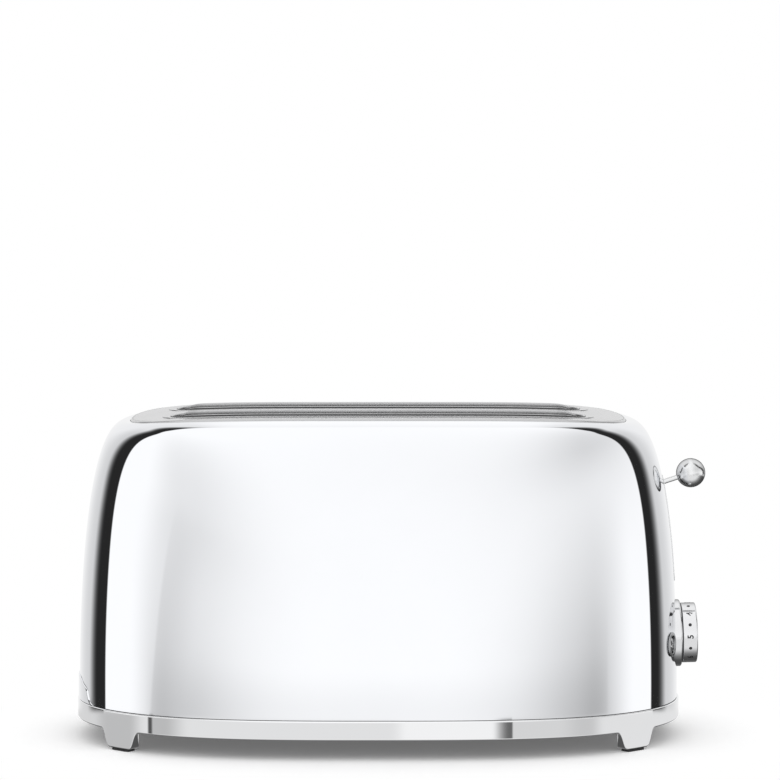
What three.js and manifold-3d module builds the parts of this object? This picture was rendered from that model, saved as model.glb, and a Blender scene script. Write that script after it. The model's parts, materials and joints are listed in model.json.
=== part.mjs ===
// A long two-slot toaster: a drawn steel shell on a footed band, two long rimmed slots above, and a
// ball-ended lever, a browning dial and two push buttons on the right-hand end.
// Millimetres. +Z is up, +X points to the end with the lever, -Y is the front, and Z 0 is the table.
import * as THREE from "three";
import { mergeVertices } from "three/addons/utils/BufferGeometryUtils.js";
import Module from "manifold-3d";

const wasm = await Module();
wasm.setup();

// Driving dimensions

const fit = 0.3; // clearance between seated pieces
const overrun = 1; // how far a cutter passes the face it leaves by

// Base band with its feet
const bandLength = 377.4;
const bandDepth = 210;
const bandTop = 24;
const bandUnderside = 12.4;
const bandProud = 1.1; // how far the band stands outside the shell
const bandWall = 2.2;
const bandFlange = 10;
const bandBevel = 0.6;
const footInset = 30.2; // from the band's end to the middle of a foot
const footX = bandLength / 2 - footInset;
const footWidth = 15.6;
const footFlank = 10;
const footThickness = 8.5;
const padThickness = 1.2;
const padMargin = 0.8;

// Drawn shell
const rimLength = 310;
const rimDepth = 132;
const rimHeight = 201.7;
const rimSag = 4; // how much lower the rim lies at its two tips
const shellWall = 1.2;
const ledgeStep = 1.5;
const ledgeWidth = 4;
const bandEndPower = 3.07;
const rimEndPower = 12;
const sidePower = 2.2;
const sagPower = 5;
const wallPower = 2.15;
const shoulderPower = 2.6;

// Top plate and bread slots
const plateProud = 1.3;
const plateSheet = 1.1;
const slotLength = 254;
const slotWidth = 35;
const slotPitch = 60;
const lipRise = 2.3;
const lipEndRise = 0.5;
const lipWall = 1.3;
const lipFoot = 6.2;
const lipSkirt = 5;

// Chassis, closing pan and what stands on it
const panSheet = 1.5;
const panUnderside = 13.5;
const sheet = 1;
const chassisGap = 5; // from the end of a slot to the chassis plate
const chassisDepth = 120;
const chassisDrop = 13.7; // clear below the top plate's rims
const chassisTop = rimHeight - chassisDrop;
const chassisCorner = 10;
const chassisFlange = 9;

// Lift
const liftPlate = 2;
const liftInset = 16; // guide rod line, out from the chassis plate
const liftDepth = 22;
const guideSpan = 82;
const guideRadius = 2.5;
const bushRadius = 5;
const bushHeight = 8;
const lugSheet = 1.5;
const lugLow = 20;
const lugDrop = 14;
const lugHigh = chassisTop - lugDrop;
const rackSheet = 1.5;
const rackWidth = 12;
const armWidth = 6;
const springRadius = 4.2;
const springWire = 0.55;
const tongueWidth = 10;

// Lever
const ballRadius = 9.15;
const ballReach = 7.3; // from the band's end out to the ball's middle
const ballX = bandLength / 2 + ballReach;
const ballShare = 0.7856; // of the way from the band up to the rim, lever up
const ballZ = bandTop + ballShare * (rimHeight - bandTop);
const leverRest = 20.1; // from the dial's bezel up to the middle of the lowered ball
const rodRadius = 1.5;
const rodSlope = THREE.MathUtils.degToRad(18.5);
const leverSlotWidth = 4.6;
const trimWidth = 2.4;
const trimProud = 0.7;

// Bread guards
const guardOffset = 14.5; // from the middle of a slot to its guard, lever up
const guardTravel = 4.5;
const guardLow = 62;
const guardDrop = 20;
const guardHigh = chassisTop - guardDrop;
const guardWire = 1;
const guardTail = 4;
const guardMargin = 10; // from the end of a slot to the last upright

// Heaters and heat shields
const shieldLow = 38;
const cardSheet = 1;
const cardRise = 10; // from the lower edge of a shield to that of a heater card
const cardLow = shieldLow + cardRise;
const cardDrop = 8;
const cardHigh = chassisTop - cardDrop;
const cardTab = 10;
const ribbonWidth = 3;
const ribbonThickness = 0.4;
const ribbonMargin = 10; // bare card at each end of the ribbon
const heaterGap = 8; // from a guard, lever up, to the heater outside it
const outerHeaterY = slotPitch / 2 + guardOffset + heaterGap;
const shieldGap = 4.5; // from an outer heater to its shield
const shieldY = outerHeaterY + shieldGap;
const shieldFlange = 6;

// Magnet
const magnetTop = 46;
const coreDepth = 12;
const coreLimb = 5;
const coreCentre = 9;
const coreYoke = 6;
const coilWall = 6;
const coreWidth = coreCentre + 2 * (coilWall + coreLimb + 3 * fit); // a coil wall fits in each window
const armatureThickness = 2.5;

// Dial
const dialShare = 0.2167; // of the way from the band up to the rim
const dialZ = bandTop + dialShare * (rimHeight - bandTop);
const knobRadius = 18.8;
const knobSkin = 3; // metal left between the shaft's bore and the dish
const knobBack = 3.2;
const knobFace = 12.6;
const knobBevel = 0.9;
const dishDepth = 3.2;
const gripWidth = 5;
const gripMargin = 1;
const bezelRim = 2.2;
const bezelRadius = knobRadius + bezelRim;
const bezelProud = 2.9;
const shaftRadius = 3;
const potRadius = 8.5;
const potLength = 7;

// Buttons
const buttonRadius = 4.8;
const buttonGap = 0.6; // round a button in its bore
const buttonBore = buttonRadius + buttonGap;
const buttonWall = 1;
const buttonTube = buttonBore + buttonWall;
const buttonRim = 1.2;
const buttonRing = buttonTube + buttonRim;
const buttonApart = 5.4; // from the bezel's edge to the button's ring
const buttonY = bezelRadius + buttonRing + buttonApart;
const buttonDrop = 2.5; // from the dial's middle down to the buttons'
const buttonZ = dialZ - buttonDrop;
const buttonTravel = 1.6;
const buttonProud = 1.1;
const stemRadius = 2;
const switchSize = 6;

// Control board
const boardSheet = 1.6;
const boardGap = 4; // from the lift's front face to the board
const boardMargin = 9; // from the middle of a button to the board's side edge
const boardWidth = 2 * (buttonY + boardMargin);
const boardBelow = 26.5; // from the dial's middle to the board's lower edge
const boardLow = dialZ - boardBelow;
const boardAbove = 21.5;
const boardHigh = dialZ + boardAbove;
const relayWidth = 14;
const relayHeight = 12;
const relayProud = 9;
const relayInset = 18; // from a side edge of the board to the parts near it
const capacitorRadius = 4;
const capacitorProud = 10;
const plugWidth = 16;
const plugHeight = 5;
const plugProud = 6;
const partMargin = 3; // from the board's lower edge to the parts on it

// Crumb tray
const pullBase = 100;
const pullHeight = 14.8;
const pullProud = 0.8;
const pullWall = 1.8;
const trayLift = 1.2; // from the shell's lower edge to the tray's floor
const trayWidth = 76;
const trayDepth = 6;
const traySheet = 1;
const trayStop = 4; // clearance from the tray's far end to the chassis plate
const runnerWidth = 6;

// Screws and the cord's inlet
const screwInset = 76.7; // from the band's end
const screwX = bandLength / 2 - screwInset;
const screwRadius = 1.6;
const screwHead = 3.4;
const screwHeadHeight = 2;
const bossRadius = 4.5;
const inletInset = 92.7; // from the band's end
const inletX = bandLength / 2 - inletInset;
const inletSide = 43; // from the band's back
const inletY = bandDepth / 2 - inletSide;
const inletBore = 3.2;
const inletNeck = 5;
const inletFlange = 7.5;
const inletLength = 10;

// Counts
const planSteps = 10; // facets in each quarter of the shell's plan
const climbSteps = 8; // facets from the band to the rim
const turnSides = 24;
const ballSides = 16;
const buttonSides = 16;
const rodSides = 8;
const wireSides = 5;
const springTurnCount = 6;
const springSides = 4;
const springStepCount = 8; // in each turn
const ribbonCount = 6;
const uprightCount = 7;
const rackCellCount = 8;

// Places that follow from the dimensions above

const shellFoot = bandTop + fit;
const bodyLength = bandLength - 2 * bandProud;
const bodyDepth = bandDepth - 2 * bandProud;
const panTop = panUnderside + panSheet;
const chassisInner = slotLength / 2 + chassisGap;
const chassisOuter = chassisInner + sheet;
const chassisFoot = panTop + fit;
const trayEnd = chassisInner - trayStop;
const trayLow = shellFoot + trayLift;
const liftTravel = ballZ - dialZ - bezelRadius - leverRest;
const guideX = chassisOuter + liftInset;
const armatureLow = magnetTop + fit + liftTravel;
const liftLow = armatureLow + armatureThickness + fit;
const liftHigh = liftLow + liftPlate;
const liftBack = guideX - liftDepth / 2;
const liftFront = guideX + liftDepth / 2;
const boardX = liftFront + boardGap;
const rackLow = liftHigh + fit;
const springFoot = lugLow + lugSheet + fit;

// Shape and boolean helpers

const mix = (from, to, share) => from + (to - from) * share;
const smooth = (share) => share * share * (3 - 2 * share);
const within = (value, low, high) => Math.min(high, Math.max(low, value));
const vec = (x, y, z) => new THREE.Vector3(x, y, z);

// A closed geometry as a solid. Triangles that a pole has flattened to a line are left out.
function solidOf(geometry) {
  const plain = geometry.clone();
  plain.deleteAttribute("normal");
  plain.deleteAttribute("uv");
  const merged = mergeVertices(plain, fit / 1000);
  const corners = merged.index.array;
  const kept = [];
  for (let i = 0; i < corners.length; i += 3) {
    const [a, b, c] = [corners[i], corners[i + 1], corners[i + 2]];
    if (a !== b && b !== c && c !== a) kept.push(a, b, c);
  }
  const wind = (list) =>
    new wasm.Manifold(
      new wasm.Mesh({
        numProp: 3,
        vertProperties: merged.attributes.position.array,
        triVerts: new Uint32Array(list),
      }),
    );
  const made = wind(kept);
  if (made.volume() > 0) return made;
  return wind(kept.reverse()); // a profile drawn the other way round
}

function geometryOf(solid) {
  const { numProp, vertProperties, triVerts } = solid.getMesh();
  const points = [];
  for (const corner of triVerts) {
    const at = corner * numProp;
    points.push(vertProperties[at], vertProperties[at + 1], vertProperties[at + 2]);
  }
  const geometry = new THREE.BufferGeometry();
  geometry.setAttribute("position", new THREE.Float32BufferAttribute(points, 3));
  geometry.computeVertexNormals();
  return geometry;
}

const join = (first, ...rest) => rest.reduce((sum, next) => sum.add(next), first);
const cut = (first, ...rest) => rest.reduce((sum, next) => sum.subtract(next), first);
const meet = (first, ...rest) => rest.reduce((sum, next) => sum.intersect(next), first);

const block = (x0, x1, y0, y1, z0, z1) =>
  solidOf(
    new THREE.BoxGeometry(x1 - x0, y1 - y0, z1 - z0).translate((x0 + x1) / 2, (y0 + y1) / 2, (z0 + z1) / 2),
  );

// A round bar from one point to another
function bar(radius, from, to, sides = rodSides) {
  const along = to.clone().sub(from);
  const geometry = new THREE.CylinderGeometry(radius, radius, along.length(), sides);
  const turn = new THREE.Quaternion().setFromUnitVectors(vec(0, 1, 0), along.clone().normalize());
  const middle = from.clone().add(to).divideScalar(2);
  return solidOf(geometry.applyQuaternion(turn).translate(middle.x, middle.y, middle.z));
}

// A profile of [place along X, radius] pairs turned about X, then put into a frame
function turned(profile, frame = new THREE.Matrix4(), sides = turnSides) {
  const points = profile.map(([along, radius]) => new THREE.Vector2(radius, along));
  points.push(points[0].clone());
  const geometry = new THREE.LatheGeometry(points, sides);
  return solidOf(geometry.rotateZ(-Math.PI / 2).applyMatrix4(frame));
}

// A profile of [height, radius] pairs turned about Z
const spun = (profile, sides) => turned(profile, new THREE.Matrix4().makeRotationY(-Math.PI / 2), sides);

// An outline in Y and Z, carried along X
function alongX(shape, x0, x1) {
  const geometry = new THREE.ExtrudeGeometry(shape, { depth: x1 - x0, bevelEnabled: false });
  const yzx = new THREE.Matrix4().makeBasis(vec(0, 1, 0), vec(0, 0, 1), vec(1, 0, 0));
  return solidOf(geometry.applyMatrix4(yzx).translate(x0, 0, 0));
}

function alongZ(shape, z0, z1) {
  const geometry = new THREE.ExtrudeGeometry(shape, { depth: z1 - z0, bevelEnabled: false });
  return solidOf(geometry.translate(0, 0, z0));
}

// A rectangle with round corners, in the plane of its outline
function roundedBox(u0, u1, v0, v1, radius) {
  const shape = new THREE.Shape();
  shape.absarc(u1 - radius, v0 + radius, radius, -Math.PI / 2, 0);
  shape.absarc(u1 - radius, v1 - radius, radius, 0, Math.PI / 2);
  shape.absarc(u0 + radius, v1 - radius, radius, Math.PI / 2, Math.PI);
  shape.absarc(u0 + radius, v0 + radius, radius, Math.PI, Math.PI * 1.5);
  return new THREE.Shape(shape.getPoints(2));
}

// A skin over rings of equal count. It joins its last ring to its first, or closes both ends with caps.
function skin(rings, capped = false) {
  const count = rings[0].length;
  const points = rings.flat();
  const faces = [];
  const bands = capped ? rings.length - 1 : rings.length;
  for (let ring = 0; ring < bands; ring++) {
    const low = ring * count;
    const high = ((ring + 1) % rings.length) * count;
    for (let step = 0; step < count; step++) {
      const next = (step + 1) % count;
      faces.push(low + step, low + next, high + next, low + step, high + next, high + step);
    }
  }
  if (capped) {
    for (const [ring, facesUp] of [[0, false], [rings.length - 1, true]]) {
      const middle = points.length;
      points.push(rings[ring].reduce((sum, p) => sum.add(p), vec(0, 0, 0)).divideScalar(count));
      for (let step = 0; step < count; step++) {
        const here = ring * count + step;
        const next = ring * count + ((step + 1) % count);
        faces.push(...(facesUp ? [here, next, middle] : [next, here, middle]));
      }
    }
  }
  const geometry = new THREE.BufferGeometry().setFromPoints(points);
  geometry.setIndex(faces);
  return solidOf(geometry);
}

// The plan outline |x / end|^endPower + |y / side|^sidePower = 1

// One quarter of it, from the middle of the end to the middle of the side. Each point has its outward
// normal, its running length, and a measure that counts length and turn alike, for even facets.
function quarterCurve(end, side, endPower) {
  const steps = 200;
  const turnShare = 0.7; // up the end by even steps in y to here, then along the side by even steps in x
  const curve = [];
  const add = (x, y) => {
    const last = curve.at(-1);
    const slopeX = (endPower * (x / end) ** (endPower - 1)) / end;
    const slopeY = (sidePower * (y / side) ** (sidePower - 1)) / side;
    const size = Math.hypot(slopeX, slopeY);
    const run = last ? last.run + Math.hypot(x - last.x, y - last.y) : 0;
    curve.push({ x, y, nx: slopeX / size, ny: slopeY / size, run });
  };
  for (let i = 0; i <= steps; i++) {
    const share = (turnShare * i) / steps;
    add(end * (1 - share ** sidePower) ** (1 / endPower), side * share);
  }
  const startShare = curve.at(-1).x / end;
  for (let i = 1; i <= steps; i++) {
    const share = startShare * (1 - i / steps);
    add(end * share, side * (1 - share ** endPower) ** (1 / sidePower));
  }
  const length = curve.at(-1).run;
  for (const p of curve) p.measure = p.run / length + Math.atan2(p.ny, p.nx) / (Math.PI / 2);
  return curve;
}

// The point of a curve at a running length, or at another of its values that only rises
function pointAt(curve, value, key = "run") {
  const found = curve.findIndex((p) => p[key] >= value);
  const after = found < 0 ? curve.length - 1 : Math.max(1, found);
  const [a, b] = [curve[after - 1], curve[after]];
  const share = within((value - a[key]) / (b[key] - a[key]), 0, 1);
  const [x, y, nx, ny, run] = ["x", "y", "nx", "ny", "run"].map((name) => mix(a[name], b[name], share));
  const size = Math.hypot(nx, ny);
  return { x, y, nx: nx / size, ny: ny / size, run };
}

// The four quarters of a plan, from one
function wholePlan(quarter) {
  const back = [...quarter].reverse();
  const quarters = [[quarter, 1, 1], [back, -1, 1], [quarter, -1, -1], [back, 1, -1]];
  return quarters.flatMap(([list, sx, sy]) =>
    list.slice(0, -1).map((p) => ({ ...p, x: sx * p.x, y: sy * p.y, nx: sx * p.nx, ny: sy * p.ny })),
  );
}

function planOutline(end, side, endPower) {
  const curve = quarterCurve(end, side, endPower);
  const steps = [...Array(planSteps + 1).keys()];
  return wholePlan(steps.map((i) => pointAt(curve, (curve.at(-1).measure * i) / planSteps, "measure")));
}

// The drawn form of the shell. climb runs from 0 at the band to a quarter turn at the rim.

const crownDrop = (share) => rimSag * Math.abs(share) ** sagPower;

function formSizes(climb) {
  const reach = Math.cos(climb) ** (2 / shoulderPower);
  return {
    end: mix(rimLength, bodyLength, reach) / 2,
    side: mix(rimDepth, bodyDepth, reach) / 2,
    endPower: 1 / mix(1 / rimEndPower, 1 / bandEndPower, reach),
    rise: Math.sin(climb) ** (2 / wallPower),
  };
}

function formRing(climb, offset) {
  const { end, side, endPower, rise } = formSizes(climb);
  const out = offset * Math.cos(climb);
  const up = offset * Math.sin(climb);
  return planOutline(end + out, side + out, endPower).map((p) => {
    const top = rimHeight - crownDrop(p.x / (end + out));
    return vec(p.x, p.y, mix(shellFoot, top, rise) + up);
  });
}

function formRings(offset, stepList) {
  return stepList.map((step) => formRing((step / climbSteps) * (Math.PI / 2), offset));
}

const allSteps = [...Array(climbSteps + 1).keys()];
const lastInner = climbSteps - 1;
const innerSteps = allSteps.filter((step) => step === lastInner || (step < lastInner && step % 2 === 0));

// The whole form as one closed solid, grown or shrunk by an offset
const form = (offset) => skin(formRings(offset, allSteps), true);

// The right-hand end wall's X at a given Y and Z
function wallX(y, z) {
  let share = 1;
  let x = 0;
  for (let i = 0; i < 8; i++) {
    const top = rimHeight - crownDrop(share);
    const rise = within((z - shellFoot) / (top - shellFoot), 0, 1);
    const { end, side, endPower } = formSizes(Math.asin(rise ** (wallPower / 2)));
    x = end * (1 - Math.abs(y / side) ** sidePower) ** (1 / endPower);
    share = x / end;
  }
  return x;
}

// A frame on the end wall whose X axis is the wall's outward normal
function wallFrame(y, z) {
  const slopeY = (wallX(y + fit, z) - wallX(y - fit, z)) / (2 * fit);
  const slopeZ = (wallX(y, z + fit) - wallX(y, z - fit)) / (2 * fit);
  const out = vec(1, -slopeY, -slopeZ).normalize();
  const across = vec(0, 0, 1).cross(out).normalize();
  const up = out.clone().cross(across);
  return new THREE.Matrix4().makeBasis(out, across, up).setPosition(wallX(y, z), y, z);
}

const dialFrame = wallFrame(0, dialZ);
const buttonFrames = { front: wallFrame(-buttonY, buttonZ), rear: wallFrame(buttonY, buttonZ) };

// Base band: one section carried round the plan, whose lower edge dips into four feet

const bandEnd = bandLength / 2;
const bandSide = bandDepth / 2;
const bandCurve = quarterCurve(bandEnd, bandSide, bandEndPower);
const bandPoint = (run) => pointAt(bandCurve, run);
const runAtX = (x) => bandCurve.find((p) => p.x <= x).run;
const footRun = runAtX(footX);

// 1 on the flat of a foot, 0 beyond its ogee flanks
function footShare(run) {
  const away = within((Math.abs(run - footRun) - footWidth / 2) / footFlank, 0, 1);
  return 1 - away ** 2 / (away ** 2 + (1 - away) ** 3);
}

function bandStations() {
  const flankShares = [1, 0.7, 0.5, 0.35, 0.2, 0];
  const reaches = flankShares.map((share) => footWidth / 2 + share * footFlank);
  const footRuns = [...reaches.map((r) => footRun - r), ...reaches.reverse().map((r) => footRun + r)];
  const spread = (from, to, steps) => [...Array(steps).keys()].map((i) => mix(from, to, i / steps));
  const runs = [
    ...spread(0, footRuns[0], 4),
    ...footRuns,
    ...spread(bandCurve.at(-1).run, footRuns.at(-1), 5).reverse(),
  ];
  return wholePlan(runs.map(bandPoint));
}

const insetPoint = (p, inset, z) => vec(p.x - p.nx * inset, p.y - p.ny * inset, z);

function baseRing() {
  const stations = bandStations();
  const footLow = padThickness + fit;
  const low = (p) => mix(bandUnderside, footLow, footShare(p.run));
  const thick = (p) => mix(bandWall, footThickness, footShare(p.run));
  const section = [
    [() => bandBevel, low],
    [() => 0, (p) => low(p) + bandBevel],
    [() => 0, () => bandTop - bandBevel],
    [() => bandBevel, () => bandTop],
    [() => bandFlange, () => bandTop],
    [() => bandFlange, () => bandTop - bandWall],
    [thick, () => bandTop - bandWall],
    [thick, low],
  ];
  const rings = section.map(([inset, height]) => stations.map((p) => insetPoint(p, inset(p), height(p))));
  const bosses = screwPlaces().map(({ x, y }) =>
    bar(bossRadius, vec(x, y, panTop + fit), vec(x, y, bandTop - bandWall / 2), turnSides / 3),
  );
  const bores = screwPlaces().map(({ x, y }) =>
    bar(screwRadius + fit, vec(x, y, panTop), vec(x, y, bandTop - bandWall), rodSides),
  );
  return cut(join(skin(rings), ...bosses), ...bores);
}

function screwPlaces() {
  const p = bandPoint(runAtX(screwX));
  const { x, y } = insetPoint(p, bandFlange + bossRadius / 2, 0);
  return [-1, 1].flatMap((sx) => [-1, 1].map((sy) => ({ x: sx * x, y: sy * y })));
}

// Foot pads lie under the feet, turned to the band's run
function footPlaces() {
  const p = bandPoint(footRun);
  const { x, y } = insetPoint(p, footThickness / 2, 0);
  const turn = Math.atan2(p.ny, p.nx);
  return [
    ["front_left", -x, -y, turn],
    ["front_right", x, -y, -turn],
    ["rear_left", -x, y, -turn],
    ["rear_right", x, y, turn],
  ];
}

function footPad() {
  const across = footThickness / 2 - padMargin;
  const along = footWidth / 2 - padMargin;
  return alongZ(roundedBox(-across, across, -along, along, padThickness), 0, padThickness);
}

// Drawn shell: outer skin up, a stepped ledge for the top plate, inner skin down

function rimRing(inset, drop) {
  return planOutline(rimLength / 2 - inset, rimDepth / 2 - inset, rimEndPower).map((p) =>
    vec(p.x, p.y, rimHeight - crownDrop(p.x / (rimLength / 2 - inset)) - drop),
  );
}

function bodyShell() {
  const rings = [
    ...formRings(0, allSteps),
    rimRing(0, ledgeStep),
    rimRing(ledgeWidth, ledgeStep),
    rimRing(ledgeWidth, ledgeStep + shellWall),
    rimRing(-shellWall, ledgeStep + shellWall),
    ...formRings(-shellWall, innerSteps).reverse(),
  ];
  return cut(skin(rings), leverSlot(0), dialHole(), ...buttonHoles(), trayMouth());
}

// A round cutter across the wall, reaching as far inward as outward
const wallCutter = (frame, radius, reach, sides) =>
  turned([[-reach, 0], [-reach, radius], [reach, radius], [reach, 0]], frame, sides);

const dialHole = () => wallCutter(dialFrame, shaftRadius + 2 * fit, knobFace, rodSides * 2);

const buttonHoles = () =>
  Object.values(buttonFrames).map((frame) => wallCutter(frame, buttonTube + fit, buttonRing, buttonSides));

// Lever: a straight rod that climbs outward to a ball

const rodZ = (x) => ballZ + (x - ballX) * Math.tan(rodSlope);

// Height at which the rod passes the wall when the lever is down by a given drop
function rodHeightAtWall(drop) {
  let z = ballZ - drop;
  for (let i = 0; i < 12; i++) z = rodZ(wallX(0, z)) - drop;
  return z;
}

// The slot that the rod runs in, grown all round by a margin
function leverSlot(margin) {
  const reach = leverSlotWidth / 2 + margin;
  const low = rodHeightAtWall(liftTravel) - rodRadius - 2 * fit - margin;
  const high = rodHeightAtWall(0) + rodRadius + 2 * fit + margin;
  const outline = roundedBox(-reach, reach, low, high, reach * 0.98);
  return alongX(outline, rimLength / 2 - overrun, bandEnd + overrun);
}

const slotTrim = () => cut(meet(leverSlot(trimWidth), form(trimProud)), form(fit), leverSlot(0));

function leverRod() {
  const start = liftFront - liftPlate - overrun;
  const end = ballX - ballRadius / 2;
  return bar(rodRadius, vec(start, 0, rodZ(start)), vec(end, 0, rodZ(end)), turnSides / 3);
}

function leverBall() {
  const sphere = new THREE.SphereGeometry(ballRadius, ballSides, ballSides / 2);
  const inner = ballX - ballRadius / 2 + fit;
  const outer = ballX - 2 * ballRadius;
  const bore = bar(rodRadius + fit, vec(outer, 0, rodZ(outer)), vec(inner, 0, rodZ(inner)), turnSides / 3);
  return cut(solidOf(sphere.translate(ballX, 0, ballZ)), bore);
}

// Top plate: a raised oval sheet with a turned-down edge and two rimmed slots

const plateGap = fit * 1.5;
const crownShares = [0.9, 0.6]; // rings within the plate's edge that follow its crown
const plateTopAt = (x) => rimHeight + plateProud - crownDrop(within(x / (rimLength / 2), -1, 1));

function plateForm(inset, low, high, bevel, innerShares) {
  const end = rimLength / 2 - plateGap - inset;
  const side = rimDepth / 2 - plateGap - inset;
  const ring = (shrink, share, rise) =>
    planOutline((end - shrink) * share, (side - shrink) * share, rimEndPower).map((p) =>
      vec(p.x, p.y, plateTopAt(p.x) - plateProud + rise),
    );
  const edge = [ring(0, 1, low), ring(0, 1, high - bevel), ring(bevel * 0.4, 1, high - bevel * 0.3)];
  const crown = [ring(bevel * 1.2, 1, high), ...innerShares.map((share) => ring(bevel, share, high))];
  return skin([...edge, ...crown], true);
}

// The round-ended outline of a slot, as stations with outward normals
function slotStations() {
  const radius = slotWidth / 2;
  const straight = slotLength / 2 - radius;
  const arcSteps = 10;
  const stations = [];
  for (const side of [1, -1]) {
    for (let i = 0; i <= arcSteps; i++) {
      const angle = (side > 0 ? -Math.PI / 2 : Math.PI / 2) + (Math.PI * i) / arcSteps;
      const [nx, ny] = [Math.cos(angle), Math.sin(angle)];
      stations.push({ x: side * straight + nx * radius, y: ny * radius, nx, ny });
    }
  }
  return stations;
}

// A slot's outline grown by a margin, carried through the plate
function slotCutter(centreY, margin) {
  const points = slotStations().map((p) => ({ x: p.x + p.nx * margin, y: centreY + p.y + p.ny * margin }));
  const outline = new THREE.Shape(points.map(({ x, y }) => new THREE.Vector2(x, y)));
  return alongZ(outline, chassisTop, rimHeight + lipSkirt + lipRise);
}

// The rolled rim: high along the sides and low round the ends
function slotLip(centreY) {
  const wall = lipWall;
  const round = lipWall / 2;
  const section = [
    [wall, () => -lipSkirt],
    [wall, () => -plateSheet],
    [lipFoot, () => -plateSheet * 0.9],
    [lipFoot, () => -plateSheet * 0.15],
    [mix(wall, lipFoot, 0.3), (rise) => rise * 0.25],
    [wall, (rise) => rise - round],
    [wall * 0.5, (rise) => rise],
    [0, (rise) => rise - round],
    [0, () => -lipSkirt],
  ];
  const rings = section.map(([out, height]) =>
    slotStations().map((p) => {
      const rise = mix(lipEndRise, lipRise, smooth(Math.abs(p.ny)));
      return vec(p.x + p.nx * out, centreY + p.y + p.ny * out, plateTopAt(p.x) + height(rise));
    }),
  );
  return skin(rings);
}

function topPlate() {
  const outer = plateForm(0, fit - ledgeStep, plateProud, plateProud / 2, crownShares);
  const under = plateForm(plateSheet, -ledgeStep - overrun, plateProud - plateSheet, 0, crownShares);
  const slots = [-slotPitch / 2, slotPitch / 2];
  const holes = slots.map((y) => slotCutter(y, mix(lipWall, lipFoot, 0.6)));
  return join(cut(outer, under, ...holes), ...slots.map(slotLip));
}

// Closing pan under the works, with vents, screw holes and two cord-wrap hooks

const panCut = [panUnderside - overrun, panTop + overrun];

function basePan() {
  const stations = planOutline(bandEnd, bandSide, bandEndPower);
  const ring = (z) => stations.map((p) => insetPoint(p, footThickness + 3 * fit, z));
  const ventLength = 44;
  const ventWidth = 4;
  const ventPitchX = 62;
  const ventPitchY = 22;
  const vents = [];
  for (const column of [-1.5, -0.5, 0.5, 1.5]) {
    for (const row of [-1, 0, 1]) {
      const [x0, x1] = [-1, 1].map((side) => column * ventPitchX + (side * ventLength) / 2);
      const [y0, y1] = [-1, 1].map((side) => row * ventPitchY + (side * ventWidth) / 2);
      vents.push(block(x0, x1, y0, y1, ...panCut));
    }
  }
  const bore = (x, y, radius, sides) => bar(radius, vec(x, y, panCut[0]), vec(x, y, panCut[1]), sides);
  const holes = screwPlaces().map(({ x, y }) => bore(x, y, screwRadius + fit, rodSides));
  const inletHole = bore(inletX, inletY, inletNeck + fit, turnSides);
  const sheetPan = skin([ring(panUnderside), ring(panTop)], true);
  return join(cut(sheetPan, ...vents, ...holes, inletHole), ...wrapHooks());
}

function wrapHooks() {
  const hookX = 70;
  const hookWidth = 24;
  const hookDrop = 8;
  const hookLip = 9;
  return [-1, 1].map((side) => {
    const x0 = side * hookX - hookWidth / 2;
    const low = panUnderside - hookDrop;
    const post = block(x0, x0 + hookWidth, inletY - panSheet, inletY, low, panTop);
    const lip = block(x0, x0 + hookWidth, inletY - hookLip, inletY, low, low + panSheet);
    return join(post, lip);
  });
}

function baseScrew() {
  const head = panUnderside - fit;
  const low = head - screwHeadHeight;
  const tip = bandTop - bandWall - 2 * fit;
  return spun(
    [[low, 0], [low, screwHead * 0.7], [mix(low, head, 0.5), screwHead], [head, screwHead],
      [head, screwRadius], [tip, screwRadius], [tip, 0]],
    rodSides,
  );
}

// A grommet that the mains lead comes in by, gripping the pan between two flanges
function cordInlet() {
  const low = panUnderside - inletLength / 2;
  const high = panTop + inletLength / 2;
  const [under, over] = [panUnderside - fit, panTop + fit];
  return spun(
    [[low, inletBore], [low, inletNeck], [under - panSheet, inletFlange], [under, inletFlange],
      [under, inletNeck], [over, inletNeck], [over, inletFlange], [over + panSheet, inletFlange],
      [high, inletNeck], [high, inletBore]],
    turnSides / 2,
  );
}

// Chassis: two folded end plates that everything inside hangs between

const heaterPlaces = { front: -outerHeaterY, centre: 0, rear: outerHeaterY };
const guardPlaces = [
  ["front_outer", -slotPitch / 2 - guardOffset, 1],
  ["front_inner", -slotPitch / 2 + guardOffset, -1],
  ["rear_inner", slotPitch / 2 - guardOffset, 1],
  ["rear_outer", slotPitch / 2 + guardOffset, -1],
];
const cardMiddles = [0.25, 0.75].map((share) => mix(cardLow, cardHigh, share));

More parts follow.
